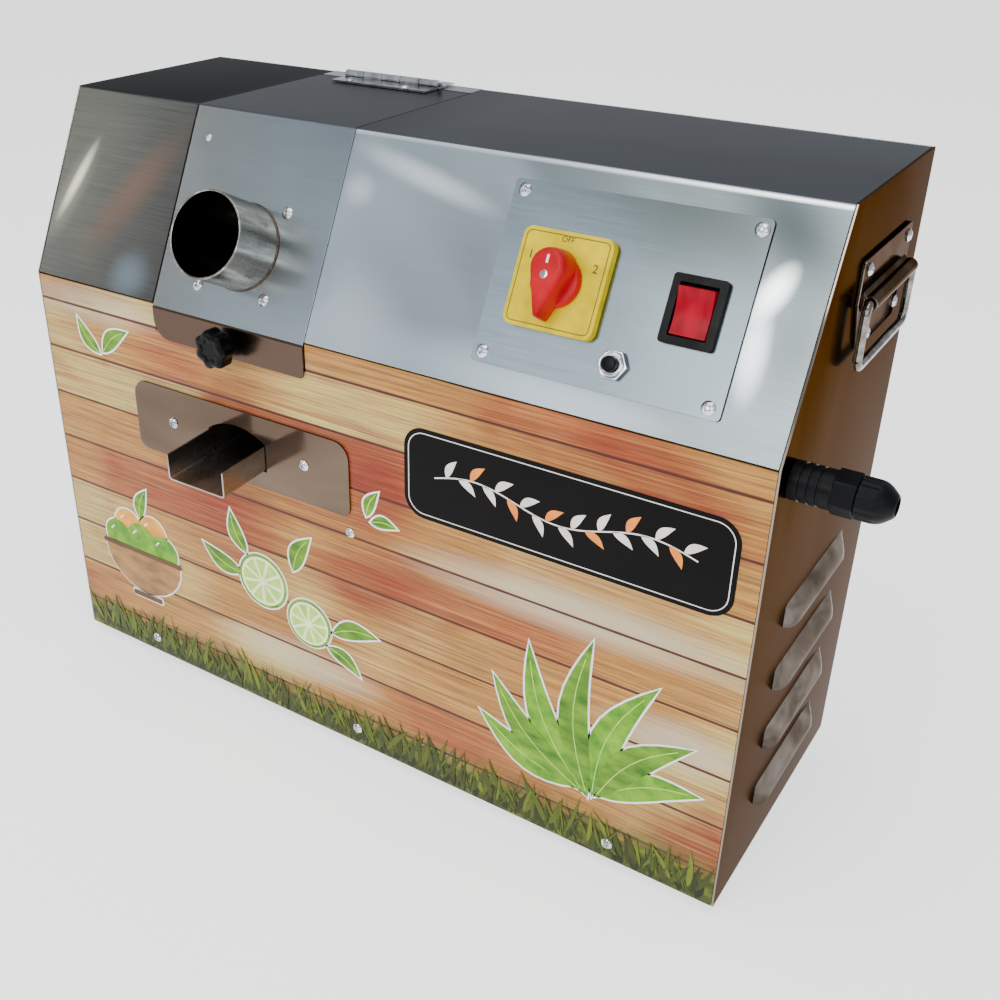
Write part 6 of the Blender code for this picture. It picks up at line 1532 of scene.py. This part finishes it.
FOOT_RADIUS, FOOT_HEIGHT, FOOT_TAPER = 0.014, 0.010, 0.003
foot_finish = Finish("milky_rubber", (222, 224, 220), Transmission_Weight=0.55, IOR=1.45, Roughness=0.32)
foot_rubber = foot_finish.clouded(foot_finish.noise(120, detail=2), (206, 208, 202),
                                  (236, 238, 234), 0.26, 0.42)
for end, y in (("front", 0.024), ("rear", CABINET_DEPTH - 0.024)):
    for side, x in (("left", 0.042), ("right", CABINET_WIDTH - 0.042)):
        foot_profile = rounded_path([
            (0, -0.006), (0.005, -0.006), (0.005, -FOOT_HEIGHT), (FOOT_RADIUS - FOOT_TAPER, -FOOT_HEIGHT),
            (FOOT_RADIUS, -GAP), (0, -GAP)], 0.0011, 4)
        piece("_".join(("rubber_foot", end, side)), turned(foot_profile, 40, x, y), foot_rubber, "cabinet",
              CABINET, ["_".join(("foot", end, side))])

# Base pan, and the trays under the mill. The pan is folded from plain steel; the juice tray, its
# strainer and the waste chute are brushed stainless and lift out for washing.

pan_finish = Finish("plain_folded_steel", Metallic=1.0)
pan_steel = pan_finish.clouded(pan_finish.noise(40, detail=4), (104, 104, 104),
                               (146, 146, 144), 0.34, 0.5)
dress(pan_steel, "base_pan")
tray_finish, tray_color, tray_gloss = brushed_steel(
    "brushed_tray_sheet", ((140, 142, 144), (168, 172, 176), (190, 196, 200)), 0.24)
tray_steel = tray_finish.use(Base_Color=tray_color, Roughness=tray_gloss)
dress(tray_steel, "juice_tray", "juice_strainer", "waste_chute")

# Mill plates, bearing plate and small steel parts. They are ground flat and keep the fine marks of the
# wheel. The trash plate, the latch's tongue and the hinge's pin are the same steel.

ground_finish = Finish("ground_steel", Metallic=1.0)
wheel_marks = ground_finish.noise((40, 900, 90), detail=4, roughness=0.6)
oil = ground_finish.noise(18, detail=3)
ground_tone = ground_finish.ramp(oil, (0.3, (112, 110, 108)), (0.7, (158, 158, 156)))
wheel_tone = ground_finish.ramp(wheel_marks, (0.3, (70, 70, 72)), (0.7, (205, 205, 205)))
ground_finish.bump(wheel_marks, 0.00003, 0.5)
ground_steel = ground_finish.use(Base_Color=ground_finish.mix(0.35, ground_tone, wheel_tone),
                                 Roughness=ground_finish.span(oil, 0.3, 0.7, 0.22, 0.42))
dress(ground_steel, "left_mill_plate", "right_mill_plate", "bearing_plate", "trash_plate", "latch_tongue",
      "hinge_pin", "motor_stand")

# Crushing rollers. Three steel rollers are turned with journals for the bushes, and their faces are
# milled with flutes that grip the cane.

ROLLER_RADIUS, ROLLER_FLUTES, FLUTE_DEPTH = 0.037, 20, 0.0015
JOURNAL_RADIUS, DRUM_FROM, DRUM_TO = 0.014, 0.145, 0.275
turned_finish = Finish("turned_roller_steel", Metallic=1.0)
turning = turned_finish.noise((1400, 30, 30), detail=4, roughness=0.65)
juice_stain = turned_finish.noise(26, detail=4)
roller_tone = turned_finish.ramp(juice_stain, (0.3, (118, 112, 104)), (0.7, (178, 176, 172)))
turning_tone = turned_finish.ramp(turning, (0.3, (72, 70, 68)), (0.7, (226, 224, 220)))
turned_finish.bump(turning, 0.00004, 0.5)
roller_steel = turned_finish.use(Base_Color=turned_finish.mix(0.3, roller_tone, turning_tone),
                                 Roughness=turned_finish.span(juice_stain, 0.3, 0.7, 0.2, 0.4))
POINTS_A_FLUTE = 8


def fluted_drum(name, material):
    """A drum whose face is milled with flutes, closed at both ends."""
    growth = Growth(name)
    radius, depth = growth.size("Radius", ROLLER_RADIUS), growth.size("Flute depth", FLUTE_DEPTH)
    flutes, long = growth.size("Flutes", ROLLER_FLUTES, "Int"), growth.size("Length", DRUM_TO - DRUM_FROM)
    around = growth.node("GeometryNodeCurvePrimitiveCircle", Resolution=flutes * POINTS_A_FLUTE, Radius=1.0)
    phase = growth.node("GeometryNodeInputIndex") * (2 * math.pi / POINTS_A_FLUTE)
    reach = radius - depth * ((1 - calc("COSINE", phase)) * 0.5) ** 1.6
    place = growth.node("ShaderNodeVectorMath", growth.node("GeometryNodeInputPosition"), Scale=reach,
                        settings={"operation": "SCALE"})
    section = growth.node("GeometryNodeSetPosition", Geometry=around, Position=place)
    end = growth.node("ShaderNodeCombineXYZ", long, 0, 0)
    rail = growth.node("GeometryNodeCurvePrimitiveLine", Start=(0, 0, 0), End=end)
    drum = growth.node("GeometryNodeCurveToMesh", Curve=rail, Profile_Curve=section, Fill_Caps=True)
    return growth.grow(drum, material)


# A turned profile stands on Z, and this lays it along X.
LYING = Matrix(((0, 0, 1, 0), (0, 1, 0, 0), (-1, 0, 0, 0), (0, 0, 0, 1)))
for roller in ("top", "front", "rear"):
    low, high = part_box(roller + "_roller")
    axis_y = (low[1] + high[1]) / 2
    axis_z = (low[2] + high[2]) / 2
    shaft_from, shaft_to = low[0] - corner.x, high[0] - corner.x
    shaft = turned([(0, shaft_from + 0.002), (0.0025, shaft_from), (JOURNAL_RADIUS - 0.001, shaft_from),
                    (JOURNAL_RADIUS, shaft_from + 0.001), (JOURNAL_RADIUS, shaft_to - 0.001),
                    (JOURNAL_RADIUS - 0.001, shaft_to), (0.0025, shaft_to), (0, shaft_to - 0.002)], 40)
    drum = moved(fluted_drum(roller + "_drum_tree", roller_steel), Matrix.Translation((DRUM_FROM, 0, 0)))
    piece(roller + "_fluted_roller", together(moved(shaft, LYING), drum), roller_steel, roller + "_roller",
          Matrix.Translation((corner.x, axis_y, axis_z)), [roller + "_roller"])

# Gears, lay shaft and motor pinion. The roller gears and pinions are cut from steel, and the two large
# gears are painted castings with cut teeth. Their flanks carry grease.

gear_finish = Finish("cut_gear_steel", Metallic=1.0)
gear_steel = gear_finish.clouded(gear_finish.noise(70, detail=4), (66, 60, 52),
                                 (150, 146, 140), 0.2, 0.44)
dress(gear_steel, "top_roller_gear", "front_roller_gear", "rear_roller_gear", "lay_shaft", "motor_pinion")


def painted_casting(name, low, high):
    """Enamel over a sand casting: a fine lumpy skin with some wear."""
    finish = Finish(name, Coat_Weight=0.3)
    finish.bump(finish.noise(420), 0.0003, 0.5)
    return finish.clouded(finish.noise(30, detail=5), low, high, 0.36, 0.56)


gear_enamel = painted_casting("gear_enamel", (58, 66, 72), (84, 94, 100))
dress(gear_enamel, "main_gear", "lay_gear")

# Bushes. Six cast bronze bushes carry the rollers in the mill plates, pressed in from outside.

bronze_finish = Finish("cast_bronze", Metallic=1.0)
bush_bronze = bronze_finish.clouded(bronze_finish.noise(160, detail=4), (150, 104, 56),
                                    (206, 158, 96), 0.26, 0.42)
dress(bush_bronze, *[roller + "_roller_" + side + "_bush" for roller in ("top", "front", "rear")
                     for side in ("left", "right")])

# Geared motor. The gearbox and the ribbed motor are castings in grey-blue enamel, bolted together on a
# steel stand, and they drive the lay shaft through the pinion.

motor_enamel = painted_casting("motor_enamel", (70, 92, 110), (98, 122, 140))
dress(motor_enamel, "drive_motor", "reduction_gearbox")
black_housing = moulded("black_housing", (26, 26, 28), 0.45)
dress(black_housing, "rotary_switch_body")
